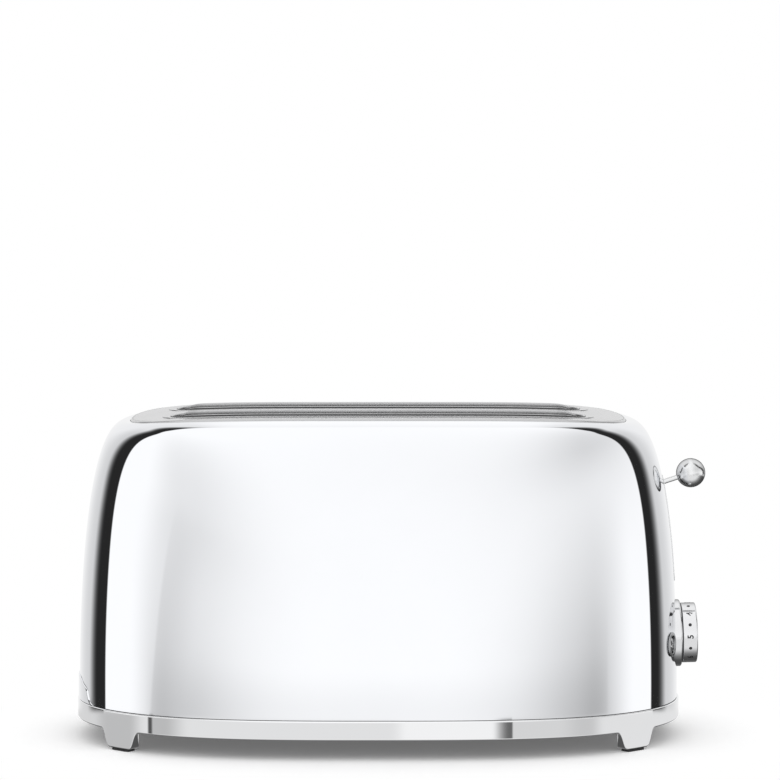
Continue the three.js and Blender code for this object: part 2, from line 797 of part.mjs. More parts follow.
function chassisPlate(side) {
  const x0 = side > 0 ? chassisInner : -chassisOuter;
  const half = chassisDepth / 2;
  const through = [x0 - overrun, x0 + sheet + overrun];
  const outline = roundedBox(-half, half, chassisFoot, chassisTop, chassisCorner);
  const flangeOut = side * (chassisOuter + chassisFlange);
  const [f0, f1] = side > 0 ? [x0, flangeOut] : [flangeOut, x0 + sheet];
  const foot = block(f0, f1, chassisCorner - half, half - chassisCorner, chassisFoot, chassisFoot + sheet);
  const head = block(f0, f1, chassisCorner - half, half - chassisCorner, chassisTop - sheet, chassisTop);
  const openings = [];
  const armLow = rackLow - liftTravel - 2 * fit;
  for (const y of [-slotPitch / 2, slotPitch / 2]) {
    const reach = armWidth / 2 + fit;
    openings.push(block(...through, y - reach, y + reach, armLow, rackLow + rackSheet + fit));
  }
  for (const [, y, inward] of guardPlaces) {
    const [y0, y1] = [y, y + inward * guardTravel].sort((a, b) => a - b);
    const reach = guardWire + fit;
    for (const z of [guardLow, guardHigh]) {
      openings.push(block(...through, y0 - reach, y1 + reach, z - reach, z + reach));
    }
  }
  for (const y of Object.values(heaterPlaces)) {
    const reach = cardSheet / 2 + fit;
    const tall = cardTab / 2 + fit;
    for (const z of cardMiddles) openings.push(block(...through, y - reach, y + reach, z - tall, z + tall));
  }
  let plate = join(alongX(outline, x0, x0 + sheet), foot, head);
  if (side < 0) {
    const reach = trayWidth / 2 + 2 * fit;
    openings.push(block(...through, -reach, reach, trayLow - 2 * fit, trayLow + trayDepth + 2 * fit));
  } else {
    plate = join(plate, ...guideLugs());
    openings.push(...guideHoles());
  }
  return cut(plate, ...openings);
}

// Tabs folded out of the right-hand plate to hold the guide rods
function guideLugs() {
  const end = guideX + bushRadius + sheet;
  return [-1, 1].flatMap((side) =>
    [lugLow, lugHigh].map((z) => {
      const y = (side * guideSpan) / 2;
      return block(chassisInner, end, y - bushRadius, y + bushRadius, z, z + lugSheet);
    }),
  );
}

const guideHoles = () =>
  [-1, 1].flatMap((side) =>
    [lugLow, lugHigh].map((z) => {
      const y = (side * guideSpan) / 2;
      const top = z + lugSheet + overrun;
      return bar(guideRadius + fit, vec(guideX, y, z - overrun), vec(guideX, y, top), rodSides * 2);
    }),
  );

function guideRod() {
  const top = lugHigh + lugSheet + 2 * guideRadius;
  return bar(guideRadius, vec(0, 0, chassisFoot), vec(0, 0, top), rodSides);
}

// Heat shield: a folded panel between the chassis plates
function heatShield() {
  const half = chassisInner - fit;
  const web = block(-half, half, 0, sheet, shieldLow, chassisTop);
  const flangeLows = [shieldLow, chassisTop - sheet];
  const flanges = flangeLows.map((z) => block(-half, half, -shieldFlange, sheet, z, z + sheet));
  const ribs = [-0.5, 0, 0.5].map((share) => {
    const x = share * slotLength;
    return block(x - shieldFlange / 2, x + shieldFlange / 2, sheet / 2, 2 * sheet, shieldLow, chassisTop);
  });
  return join(web, ...flanges, ...ribs);
}

// Heater: a mica card with its ribbon wound round it, held by tabs in the chassis plates
function heaterCard() {
  const half = chassisInner - fit;
  const end = half + guardTail;
  const face = cardSheet / 2;
  const card = block(-half, half, -face, face, cardLow, cardHigh);
  const tabs = cardMiddles.map((z) => block(-end, end, -face, face, z - cardTab / 2, z + cardTab / 2));
  const reach = face + ribbonThickness;
  const ribbons = [...Array(ribbonCount).keys()].map((i) => {
    const z = mix(cardLow, cardHigh, (i + 0.5) / ribbonCount);
    const out = half - ribbonMargin;
    return block(-out, out, -reach, reach, z - ribbonWidth / 2, z + ribbonWidth / 2);
  });
  return join(card, ...tabs, ...ribbons);
}

// Bread guard: a cage of wires whose long wires run in the chassis plates' slots
function breadGuard() {
  const half = chassisOuter + guardTail;
  const heights = [guardLow, guardHigh];
  const rails = heights.map((z) => bar(guardWire, vec(-half, 0, z), vec(half, 0, z), wireSides));
  const reach = slotLength / 2 - guardMargin;
  const wires = [...Array(uprightCount).keys()].map((i) => {
    const x = mix(-reach, reach, i / (uprightCount - 1));
    return bar(guardWire, vec(x, 0, guardLow), vec(x, 0, guardHigh), wireSides);
  });
  return join(...rails, ...wires);
}

// Lift: a plate on two guide rods that carries both racks, the armature and the lever

function carriage() {
  const half = guideSpan / 2 + bushRadius + sheet;
  const plate = block(liftBack, liftFront, -half, half, liftLow, liftHigh);
  const tongueTop = rodZ(liftFront) + 3 * rodRadius;
  const tongueHalf = tongueWidth / 2;
  const tongue = block(liftFront - liftPlate, liftFront, -tongueHalf, tongueHalf, liftLow, tongueTop);
  const ys = [-guideSpan / 2, guideSpan / 2];
  const column = (y, radius, past, sides) =>
    bar(radius, vec(guideX, y, liftLow - past), vec(guideX, y, liftHigh + bushHeight + past), sides);
  const bushes = ys.map((y) => column(y, bushRadius, 0, turnSides / 3));
  const bores = ys.map((y) => column(y, guideRadius + fit, overrun, rodSides * 2));
  const [x0, x1] = [liftFront - 3 * liftPlate, liftFront + liftPlate];
  const rodHole = bar(rodRadius + fit, vec(x0, 0, rodZ(x0)), vec(x1, 0, rodZ(x1)), turnSides / 3);
  return cut(join(plate, tongue, ...bushes), ...bores, rodHole);
}

function breadRack() {
  const half = slotLength / 2 - 2 * fit;
  const high = rackLow + rackSheet;
  const floor = block(-half, half, -rackWidth / 2, rackWidth / 2, rackLow, high);
  const arm = block(-chassisOuter - guardTail, guideX, -armWidth / 2, armWidth / 2, rackLow, high);
  const holeLength = (2 * half) / rackCellCount - rackWidth;
  const holes = [...Array(rackCellCount).keys()].map((i) => {
    const x = mix(-half, half, (i + 0.5) / rackCellCount);
    const reach = rackWidth / 2 - 2 * rackSheet;
    return block(x - holeLength / 2, x + holeLength / 2, -reach, reach, rackLow - overrun, high + overrun);
  });
  return cut(join(floor, arm), ...holes);
}

const armature = () => {
  const half = coreWidth / 2;
  const top = armatureLow + armatureThickness;
  return block(guideX - coreDepth / 2, guideX + coreDepth / 2, -half, half, armatureLow, top);
};

// Return spring round a guide rod, one unbroken coil from the lower lug to the lift
class Coil extends THREE.Curve {
  constructor(radius, low, high, turns) {
    super();
    Object.assign(this, { radius, low, high, turns });
  }

  getPoint(share, target = vec(0, 0, 0)) {
    const angle = share * this.turns * 2 * Math.PI;
    const height = mix(this.low, this.high, share);
    return target.set(this.radius * Math.cos(angle), this.radius * Math.sin(angle), height);
  }
}

function returnSpring() {
  const [low, high] = [springFoot + springWire, liftLow - fit - springWire];
  const path = new Coil(springRadius, low, high, springTurnCount);
  const steps = springTurnCount * springStepCount;
  const rings = [...Array(steps + 1).keys()].map((i) => {
    const middle = path.getPoint(i / steps);
    const angle = (i / steps) * springTurnCount * 2 * Math.PI;
    const out = vec(Math.cos(angle), Math.sin(angle), 0);
    return [...Array(springSides).keys()].map((k) => {
      const round = (k / springSides) * 2 * Math.PI;
      const lifted = middle.clone().addScaledVector(out, springWire * Math.cos(round));
      return lifted.add(vec(0, 0, springWire * Math.sin(round)));
    });
  });
  return skin(rings, true);
}

// Magnet: a three-legged core with its coil round the middle leg

function magnetCore() {
  const half = coreWidth / 2;
  const [x0, x1] = [guideX - coreDepth / 2, guideX + coreDepth / 2];
  const windowLow = chassisFoot + coreYoke;
  const windows = [-1, 1].map((side) => {
    const [y0, y1] = [(side * coreCentre) / 2, side * (half - coreLimb)].sort((a, b) => a - b);
    return block(x0 - overrun, x1 + overrun, y0, y1, windowLow, magnetTop + overrun);
  });
  return cut(block(x0, x1, -half, half, chassisFoot, magnetTop), ...windows);
}

function magnetCoil() {
  const [low, high] = [chassisFoot + coreYoke + fit, magnetTop - 2 * fit];
  const [boreX, boreY] = [coreDepth / 2 + fit, coreCentre / 2 + fit];
  const [outX, outY] = [boreX + coilWall, boreY + coilWall];
  const outer = block(guideX - outX, guideX + outX, -outY, outY, low, high);
  return cut(outer, block(guideX - boreX, guideX + boreX, -boreY, boreY, low - overrun, high + overrun));
}

// Controls behind the end wall

const boardCutter = (gap) =>
  block(chassisInner, boardX + boardSheet + gap, -boardWidth, boardWidth, chassisFoot, chassisTop);

// The board with its relay, capacitor and plug socket, all on the face towards the shell
function controlBoard() {
  const face = boardX + boardSheet;
  const half = boardWidth / 2;
  const low = boardLow + partMargin;
  const sheetBoard = alongX(roundedBox(-half, half, boardLow, boardHigh, boardSheet), boardX, face);
  const relayY = half - relayInset;
  const relay = block(boardX, face + relayProud, relayY - relayWidth, relayY, low, low + relayHeight);
  const capacitorZ = low + capacitorRadius;
  const capacitorEnds = [boardX, face + capacitorProud].map((x) => vec(x, relayInset - half, capacitorZ));
  const plug = block(boardX, face + plugProud, -plugWidth / 2, plugWidth / 2, low, low + plugHeight);
  return join(sheetBoard, relay, bar(capacitorRadius, ...capacitorEnds, buttonSides), plug);
}

// Sheet bracket that stands on the pan and holds the board from behind
function boardBracket() {
  const legWidth = 12;
  const x1 = boardX - fit;
  const x0 = x1 - sheet;
  const middle = mix(boardLow, boardHigh, 0.3);
  const legs = [-1, 1].flatMap((side) => {
    const y = side * (boardWidth / 2 - legWidth / 2);
    const [y0, y1] = [y - legWidth / 2, y + legWidth / 2];
    const upright = block(x0, x1, y0, y1, chassisFoot, boardHigh);
    return [upright, block(x0, x1 + legWidth, y0, y1, chassisFoot, chassisFoot + sheet)];
  });
  return join(block(x0, x1, -boardWidth / 2, boardWidth / 2, boardLow, middle), ...legs);
}

function dialPot() {
  const back = boardX - dialFrame.elements[12];
  const face = back + boardSheet + fit + potLength;
  const neck = shaftRadius + 2 * fit + sheet;
  const end = face + 3 * sheet;
  const bore = shaftRadius + fit;
  const can = [[back, bore], [back, potRadius], [face, potRadius]];
  const profile = [...can, [face, neck], [end, neck], [end, bore]];
  return cut(turned(profile, dialFrame, rodSides * 2), boardCutter(fit));
}

function dialShaft() {
  const back = boardX + boardSheet + 4 * fit - dialFrame.elements[12];
  const end = knobFace - dishDepth - knobSkin;
  return turned([[back, 0], [back, shaftRadius], [end, shaftRadius], [end, 0]], undefined, rodSides * 2);
}

function dialBezel() {
  const bore = shaftRadius + 2 * fit;
  const step = knobBevel * 1.3;
  const profile = [
    [-bezelProud, bore], [-bezelProud, bezelRadius], [bezelProud * 0.45, bezelRadius],
    [bezelProud, bezelRadius - step], [bezelProud, knobRadius - step],
    [bezelProud * 0.4, knobRadius - 2 * step], [bezelProud * 0.4, bore],
  ];
  return cut(turned(profile, dialFrame), form(fit));
}

function dialKnob() {
  const floor = knobFace - dishDepth;
  const bore = shaftRadius + fit;
  const boreEnd = floor - knobSkin + fit;
  const dishRadius = knobRadius - 2.5 * knobBevel;
  const body = turned([
    [knobBack, bore], [knobBack, knobRadius - knobBevel], [knobBack + knobBevel, knobRadius],
    [knobFace - knobBevel, knobRadius], [knobFace, knobRadius - knobBevel], [knobFace, dishRadius],
    [floor, dishRadius - knobBevel * 1.5], [floor, 0], [boreEnd, 0], [boreEnd, bore],
  ]);
  const reach = dishRadius - gripMargin;
  return join(body, block(floor - overrun, knobFace - fit, -gripWidth / 2, gripWidth / 2, -reach, reach));
}

function buttonBezel(frame) {
  const profile = [
    [-buttonTube, buttonBore], [-buttonTube, buttonTube], [fit / 2, buttonTube], [fit / 2, buttonRing],
    [buttonProud / 2, buttonRing], [buttonProud, buttonRing - buttonProud / 2],
    [buttonProud, buttonBore + buttonProud / 2], [buttonProud / 2, buttonBore],
  ];
  return turned(profile, frame, buttonSides);
}

function buttonCap() {
  const back = -buttonTube;
  const stemEnd = back - stemRadius;
  return turned(
    [[stemEnd, 0], [stemEnd, stemRadius], [back, stemRadius], [back, buttonRadius],
      [-buttonProud / 2, buttonRadius], [buttonProud * 0.3, buttonRadius * 0.8],
      [buttonProud * 0.8, buttonRadius * 0.4], [buttonProud, 0]],
    undefined,
    buttonSides,
  );
}

function buttonSwitch(frame) {
  const face = -buttonTube - stemRadius - buttonTravel - fit;
  const geometry = new THREE.BoxGeometry(2 * switchSize, switchSize, switchSize);
  geometry.translate(face - switchSize, 0, 0);
  return cut(solidOf(geometry.applyMatrix4(frame)), boardCutter(fit));
}

// Crumb tray: an arched pull flush with the left end wall, and a shallow pan behind it

// The arch, grown by a margin: concave feet, a shoulder each side and a low crown
function pullShape(margin) {
  const half = pullBase / 2 + margin;
  const height = pullHeight + margin;
  const low = shellFoot - (margin > 0 ? overrun : 0);
  const at = (yShare, zShare) => [half * yShare, shellFoot + height * zShare];
  const shape = new THREE.Shape();
  shape.moveTo(-half, low);
  shape.lineTo(half, low);
  if (margin > 0) shape.lineTo(...at(1, 0));
  shape.bezierCurveTo(...at(0.88, 0.03), ...at(0.86, 0.2), ...at(0.82, 0.45));
  shape.bezierCurveTo(...at(0.78, 0.74), ...at(0.68, 0.66), ...at(0.56, 0.86));
  shape.bezierCurveTo(...at(0.48, 0.98), ...at(0.3, 1), ...at(0, 1));
  shape.bezierCurveTo(...at(-0.3, 1), ...at(-0.48, 0.98), ...at(-0.56, 0.86));
  shape.bezierCurveTo(...at(-0.68, 0.66), ...at(-0.78, 0.74), ...at(-0.82, 0.45));
  shape.bezierCurveTo(...at(-0.86, 0.2), ...at(-0.88, 0.03), ...at(-1, 0));
  return new THREE.Shape(shape.getPoints(4));
}

const trayMouth = () => alongX(pullShape(1.5 * fit), -bandEnd - overrun, -rimLength / 2);

const trayPull = () =>
  cut(meet(alongX(pullShape(0), -bandEnd - overrun, -rimLength / 2), form(pullProud)), form(-pullWall));

function trayPan() {
  const half = trayWidth / 2;
  const outer = block(-bandEnd, trayEnd, -half, half, trayLow, trayLow + trayDepth);
  const halfInside = half - traySheet;
  const [floor, high] = [trayLow + traySheet, trayLow + trayDepth + overrun];
  const inner = block(-bandEnd, trayEnd - traySheet, -halfInside, halfInside, floor, high);
  const front = pullWall + fit;
  return cut(meet(outer, form(-front)), meet(inner, form(-front - traySheet)));
}

// Folded rail that the tray runs on
function trayRunner() {
  const half = chassisInner - 2 * fit;
  const high = trayLow - fit;
  const foot = block(-half, half, 0, runnerWidth, chassisFoot, chassisFoot + sheet);
  const web = block(-half, half, 0, sheet, chassisFoot, high);
  const head = block(-half, half, sheet - runnerWidth, sheet, high - sheet, high);
  return join(foot, web, head);
}

// Finishes

const finishes = {
  chrome: { color: 0xe8eaec, roughness: 0.05, metalness: 1 },
  satinSteel: { color: 0xb9bbbd, roughness: 0.32, metalness: 1 },
  zincSheet: { color: 0x9da2a6, roughness: 0.45, metalness: 1 },
  spring: { color: 0x8b8f93, roughness: 0.35, metalness: 1 },
  rubber: { color: 0x1c1c1d, roughness: 0.85, metalness: 0 },
  mica: { color: 0xb9ad94, roughness: 0.6, metalness: 0 },
  copper: { color: 0xa65a2e, roughness: 0.4, metalness: 0.9 },
  board: { color: 0x1f5a3c, roughness: 0.55, metalness: 0 },
  blackPlastic: { color: 0x232425, roughness: 0.6, metalness: 0 },
};

// Assembly: a group for each body that moves as one

const toaster = new THREE.Group();
// The part's frame stands midway between the band's left end and the outside of the lever's ball.
toaster.position.x = -(ballX + ballRadius - bandEnd) / 2;

function addTo(group, name, solid, finish) {
  const mesh = new THREE.Mesh(geometryOf(solid), new THREE.MeshStandardMaterial(finishes[finish]));
  mesh.name = name;
  group.add(mesh);
  return mesh;
}

function bodyGroup(frame) {
  const group = new THREE.Group();
  if (frame) frame.decompose(group.position, group.quaternion, group.scale);
  toaster.add(group);
  return group;
}

const housing = bodyGroup();
addTo(housing, "body_shell", bodyShell(), "chrome");
addTo(housing, "top_plate", topPlate(), "satinSteel");
addTo(housing, "base_ring", baseRing(), "chrome");
addTo(housing, "base_pan", basePan(), "blackPlastic");
for (const [place, x, y, turn] of footPlaces()) {
  const pad = addTo(housing, `foot_pad_${place}`, footPad(), "rubber");
  pad.position.set(x, y, 0);
  pad.rotation.z = turn;
}
screwPlaces().forEach(({ x, y }, i) => {
  addTo(housing, `base_screw_${i + 1}`, baseScrew(), "zincSheet").position.set(x, y, 0);
});
addTo(housing, "cord_inlet", cordInlet(), "rubber").position.set(inletX, inletY, 0);
addTo(housing, "lever_slot_trim", slotTrim(), "satinSteel");
addTo(housing, "dial_bezel", dialBezel(), "chrome");
for (const [place, frame] of Object.entries(buttonFrames)) {
  addTo(housing, `button_bezel_${place}`, buttonBezel(frame), "chrome");
  addTo(housing, `button_switch_${place}`, buttonSwitch(frame), "blackPlastic");
}
addTo(housing, "chassis_plate_left", chassisPlate(-1), "zincSheet");
addTo(housing, "chassis_plate_right", chassisPlate(1), "zincSheet");
for (const [place, side] of [["front", -1], ["rear", 1]]) {
  const shield = addTo(housing, `heat_shield_${place}`, heatShield(), "zincSheet");
  shield.position.y = side * shieldY;
  shield.rotation.z = side > 0 ? 0 : Math.PI;
  const runner = addTo(housing, `tray_runner_${place}`, trayRunner(), "zincSheet");
  runner.position.y = side * (trayWidth / 2 - runnerWidth);
  runner.rotation.z = side > 0 ? 0 : Math.PI;
  const y = (side * guideSpan) / 2;
  addTo(housing, `guide_rod_${place}`, guideRod(), "satinSteel").position.set(guideX, y, 0);
  addTo(housing, `return_spring_${place}`, returnSpring(), "spring").position.set(guideX, y, 0);
}
for (const [place, y] of Object.entries(heaterPlaces)) {
  addTo(housing, `heater_${place}`, heaterCard(), "mica").position.y = y;
}
addTo(housing, "magnet_core", magnetCore(), "zincSheet");
addTo(housing, "magnet_coil", magnetCoil(), "copper");
addTo(housing, "control_board", controlBoard(), "board");
addTo(housing, "board_bracket", boardBracket(), "zincSheet");
addTo(housing, "dial_potentiometer", dialPot(), "blackPlastic");

for (const [place, y] of guardPlaces) {
  addTo(bodyGroup(), `bread_guard_${place}`, breadGuard(), "satinSteel").position.y = y;
}

const lift = bodyGroup();
addTo(lift, "carriage_bracket", carriage(), "zincSheet");
addTo(lift, "armature_plate", armature(), "zincSheet");
addTo(lift, "bread_rack_front", breadRack(), "satinSteel").position.y = -slotPitch / 2;
addTo(lift, "bread_rack_rear", breadRack(), "satinSteel").position.y = slotPitch / 2;
addTo(lift, "lever_rod", leverRod(), "chrome");
addTo(lift, "lever_ball", leverBall(), "chrome");

const dial = bodyGroup(dialFrame);
addTo(dial, "dial_shaft", dialShaft(), "satinSteel");
addTo(dial, "dial_knob", dialKnob(), "chrome");

for (const [place, frame] of Object.entries(buttonFrames)) {
  addTo(bodyGroup(frame), `button_${place}`, buttonCap(), "chrome");
}

const tray = bodyGroup();
addTo(tray, "crumb_tray_pull", trayPull(), "chrome");
addTo(tray, "crumb_tray_pan", trayPan(), "zincSheet");

export default toaster;
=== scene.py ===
import json
import math
import bpy
import numpy as np
from mathutils import Matrix, Vector


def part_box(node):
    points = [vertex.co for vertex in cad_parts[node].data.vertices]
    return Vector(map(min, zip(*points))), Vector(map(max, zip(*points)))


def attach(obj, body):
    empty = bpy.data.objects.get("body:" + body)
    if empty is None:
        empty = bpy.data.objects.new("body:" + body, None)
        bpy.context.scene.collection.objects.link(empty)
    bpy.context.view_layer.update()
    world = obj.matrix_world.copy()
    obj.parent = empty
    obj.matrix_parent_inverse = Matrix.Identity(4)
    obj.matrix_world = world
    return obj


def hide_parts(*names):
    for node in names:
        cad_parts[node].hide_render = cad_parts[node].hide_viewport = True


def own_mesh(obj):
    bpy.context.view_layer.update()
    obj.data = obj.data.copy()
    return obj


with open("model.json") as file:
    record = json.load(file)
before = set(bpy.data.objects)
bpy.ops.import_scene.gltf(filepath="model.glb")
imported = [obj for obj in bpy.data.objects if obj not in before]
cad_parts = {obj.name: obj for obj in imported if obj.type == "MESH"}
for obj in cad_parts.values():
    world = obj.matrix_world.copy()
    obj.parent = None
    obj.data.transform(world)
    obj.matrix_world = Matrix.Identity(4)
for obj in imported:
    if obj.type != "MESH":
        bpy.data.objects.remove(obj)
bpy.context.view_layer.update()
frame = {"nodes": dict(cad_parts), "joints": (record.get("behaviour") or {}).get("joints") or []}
print("frame loaded:", len(frame["nodes"]), "nodes")

# Lengths are in millimetres, measured from the middle of the toaster's body, and mm turns them into metres.
# Only the studio's lengths and the depths of the materials' bumps are given in metres.
mm = 0.001


def nodeBox(node):
    low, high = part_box(node)
    return np.array(low) / mm, np.array(high) / mm


bandLow, bandHigh = nodeBox("base_ring")
bodyMiddle = np.array([(bandLow[0] + bandHigh[0]) / 2, 0, 0])  # from the part's origin to the body's middle


def centredBox(node):
    low, high = nodeBox(node)
    return low - bodyMiddle, high - bodyMiddle


def boxAndMiddle(node):
    low, high = centredBox(node)
    return low, high, (low + high) / 2


def mix(start, end, share):
    return start + (end - start) * share


def smoothShare(share):
    return share * share * (3 - 2 * share)


# Rows of the cosine and sine of angles, and below it those of the points of a circle of radius 1
def directions(angle):
    return np.stack([np.cos(angle), np.sin(angle)], -1)


def circle(sides):
    return directions(np.linspace(0, 2 * math.pi, sides, endpoint=False))


# Surfaces: a surface is a list of points (n, 3) with a list of faces, each a row of point numbers

def joinSurfaces(*surfaces):
    points, faces, count = [], [], 0
    for part, partFaces in surfaces:
        points.append(part)
        faces += [tuple(int(corner) + count for corner in face) for face in partFaces]
        count += len(part)
    return np.vstack(points), faces


# Turns every face round if the closed surface encloses a negative volume
def outward(points, faces):
    volume = 0.0
    for size in set(len(face) for face in faces):
        corners = points[np.array([face for face in faces if len(face) == size])]
        for step in range(1, size - 1):
            volume += np.einsum("ij,ij->", corners[:, 0], np.cross(corners[:, step], corners[:, step + 1]))
    if volume < 0:
        faces = [face[::-1] for face in faces]
    return points, faces


# Rings of points, shape (rings, points, 3), as one list of points, the numbers of each ring's points, and
# the quads between neighbouring rings. Each ring closes on itself. With loop the last ring joins the first.
def joinRings(rings, loop=False):
    rings = np.asarray(rings, float)
    count, size = rings.shape[:2]
    index = np.arange(count * size).reshape(count, size)
    low, high = (index, np.roll(index, -1, 0)) if loop else (index[:-1], index[1:])
    quads = np.stack([low, np.roll(low, -1, 1), np.roll(high, -1, 1), high], -1).reshape(-1, 4)
    return rings.reshape(-1, 3), index, [tuple(face) for face in quads.tolist()]


# Rings joined into a closed skin. Without loop each end closes on a pole, by default its ring's middle.
def skin(rings, loop=False, poles=None):
    points, index, faces = joinRings(rings, loop)
    if not loop:
        poles = poles if poles is not None else (points[index[0]].mean(0), points[index[-1]].mean(0))
        first = len(points)
        points = np.vstack([points, poles])
        for ring, pole, turn in ((index[0], first, -1), (index[-1], first + 1, 1)):
            after = np.roll(ring, -1)
            start, end = (ring, after) if turn > 0 else (after, ring)
            faces += [(a, b, pole) for a, b in zip(start.tolist(), end.tolist())]
    return outward(points, faces)


# A polyline whose corners are rounded. profile holds (u, v, radius) rows. A rounded corner becomes an arc,
# which takes up at most the share longest of the lines that meet there. A point a little beside each end of
# the arc keeps the flats flat when they are shaded.
def roundedLine(profile, closed=False, steps=6, longest=0.45, beside=0.1):
    profile = np.array(profile, float)
    rows, count = [], len(profile)
    for i, (u, v, radius) in enumerate(profile):
        here = np.array([u, v])
        if radius <= 0 or (not closed and i in (0, count - 1)):
            rows.append(here)
            continue
        before, after = profile[i - 1, :2] - here, profile[(i + 1) % count, :2] - here
        toBefore, toAfter = before / np.linalg.norm(before), after / np.linalg.norm(after)
        half = math.acos(np.clip(np.dot(toBefore, toAfter), -1, 1)) / 2
        reach = radius / math.tan(half)
        limit = longest * min(np.linalg.norm(before), np.linalg.norm(after))
        if reach > limit:
            reach, radius = limit, limit * math.tan(half)
        bisector = toBefore + toAfter
        centre = here + bisector / np.linalg.norm(bisector) * radius / math.sin(half)
        start, end = here + toBefore * reach, here + toAfter * reach
        turn = math.pi - 2 * half
        first, last = start - centre, end - centre
        arc = [centre + (math.sin(turn * (1 - k)) * first + math.sin(turn * k) * last) / math.sin(turn)
               for k in np.linspace(0, 1, steps + 1)]
        rows += [start + toBefore * reach * beside, *arc, end + toAfter * reach * beside]
    return np.array(rows)


# A profile of (place along the axis, radius) turned about the X axis of a frame, a 4 by 4 matrix. A profile
# that starts and ends on the axis closes with poles, and any other closes on itself.
def revolve(profile, place=None, sides=96):
    profile = np.array(profile, float)
    solid = profile[0, 1] == 0
    rows = profile[1:-1, None] if solid else profile[:, None]
    rings = rows[..., 1:] * np.c_[np.zeros(sides), circle(sides)] + rows[..., :1] * [1, 0, 0]
    poles = [[profile[0, 0], 0, 0], [profile[-1, 0], 0, 0]] if solid else None
    return placed(skin(rings, loop=not solid, poles=poles), place)


# A plain cylinder along a frame's X axis, reaching as far behind the frame as in front of it
def drill(radius, reach, place):
    return revolve([[-reach, 0], [-reach, radius], [reach, radius], [reach, 0]], place, 48)


def placed(surface, place):
    points, faces = surface
    if place is None:
        return surface
    place = np.array(place)
    return outward(points @ place[:3, :3].T + place[:3, 3], faces)


# A round tube that follows points. Its section turns with the path without twisting.
def tube(path, radius, sides=12):
    path = np.array(path, float)
    along = np.gradient(path, axis=0)
    along /= np.linalg.norm(along, axis=1, keepdims=True)
    side = np.cross(along[0], [0.31, 0.47, 0.82])  # square to a slanted line that no path starts along
    frames = []
    for direction in along:
        side = side - direction * np.dot(side, direction)
        side /= np.linalg.norm(side)
        frames.append((side, np.cross(direction, side)))
    frames, ring = np.array(frames)[:, :, None], circle(sides)
    return skin(path[:, None] + radius * (ring[:, :1] * frames[:, 0] + ring[:, 1:] * frames[:, 1]))


# An outline in Y and Z carried along X, and below it one in X and Y carried along Z
def extrudeX(outline, x0, x1):
    outline = np.array(outline, float)
    return flatEnds([np.c_[np.full(len(outline), x), outline] for x in (x0, x1)])


def extrudeZ(outline, z0, z1):
    outline = np.array(outline, float)
    return flatEnds([np.c_[outline, np.full(len(outline), z)] for z in (z0, z1)])


# Rings joined into a skin whose two ends are single flat faces
def flatEnds(rings):
    points, index, faces = joinRings(rings)
    return outward(points, faces + [tuple(index[0, ::-1].tolist()), tuple(index[-1].tolist())])


def boxSurface(low, high):
    (x0, y0, z0), (x1, y1, z1) = low, high
    return extrudeZ([[x0, y0], [x1, y0], [x1, y1], [x0, y1]], z0, z1)


def makeMesh(name, surface):
    points, faces = surface
    mesh = bpy.data.meshes.new(name)
    mesh.from_pydata(((points + bodyMiddle) * mm).tolist(), [], faces)
    mesh.validate()
    mesh.update()
    return mesh


def addObject(name, data):
    obj = bpy.data.objects.new(name, data)
    bpy.context.scene.collection.objects.link(obj)
    return obj


# A new mesh of an object with its modifiers worked out
def finishedMesh(obj):
    graph = bpy.context.evaluated_depsgraph_get()
    return bpy.data.meshes.new_from_object(obj.evaluated_get(graph))


# Cuts surfaces out of a mesh, or joins them to it, and leaves no modifier behind
def combine(obj, surfaces, operation="DIFFERENCE"):
    for surface in surfaces:
        cutter = addObject("cutter", makeMesh("cutter", surface))
        modifier = obj.modifiers.new("combine", "BOOLEAN")
        modifier.operation = operation
        modifier.solver = "EXACT"
        modifier.object = cutter
        finished = finishedMesh(obj)
        obj.modifiers.clear()
        obj.data = finished
        bpy.data.objects.remove(cutter)


# Makes a piece of the toaster from a surface, smooth except where faces meet at more than crease degrees.
# It rides on the housing unless another body is given.
def makePiece(name, surface, finish, replaces=(), body="housing", cuts=(), joins=(), crease=35):
    material, slot = finishes[finish]
    obj = addObject(name, makeMesh(name, surface))
    combine(obj, joins, "UNION")
    combine(obj, cuts)
    mesh = obj.data
    mesh.polygons.foreach_set("use_smooth", [True] * len(mesh.polygons))
    mesh.set_sharp_from_angle(angle=math.radians(crease))
    mesh.materials.clear()
    mesh.materials.append(material)
    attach(obj, body)
    if replaces:
        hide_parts(*replaces)
    return obj


# Materials: an expression on Value objects adds the Math nodes that work it out

class Value:
    def __init__(self, sheet, socket):
        self.sheet, self.socket = sheet, socket

    def run(self, operation, *others):
        values = {number: other for number, other in enumerate([self, *others])}
        return self.sheet.value("ShaderNodeMath", {"operation": operation}, values)

    def __add__(self, other):
        return self.run("ADD", other)

    def __sub__(self, other):
        return self.run("SUBTRACT", other)

    def __rsub__(self, other):
        return self.run("MULTIPLY", -1).run("ADD", other)

    def __mul__(self, other):
        return self.run("MULTIPLY", other)

    def __truediv__(self, other):
        return self.run("DIVIDE", other)

    def __pow__(self, other):
        return self.run("POWER", other)

    __radd__ = __add__
    __rmul__ = __mul__

    def within(self, low, high):
        return self.run("MINIMUM", high).run("MAXIMUM", low)

    # 0 below start, 1 above end, and a smooth climb between them
    def climb(self, start, end):
        inputs = {"Value": self, "From Min": start, "From Max": end}
        return self.sheet.value("ShaderNodeMapRange", {"interpolation_type": "SMOOTHSTEP"}, inputs)


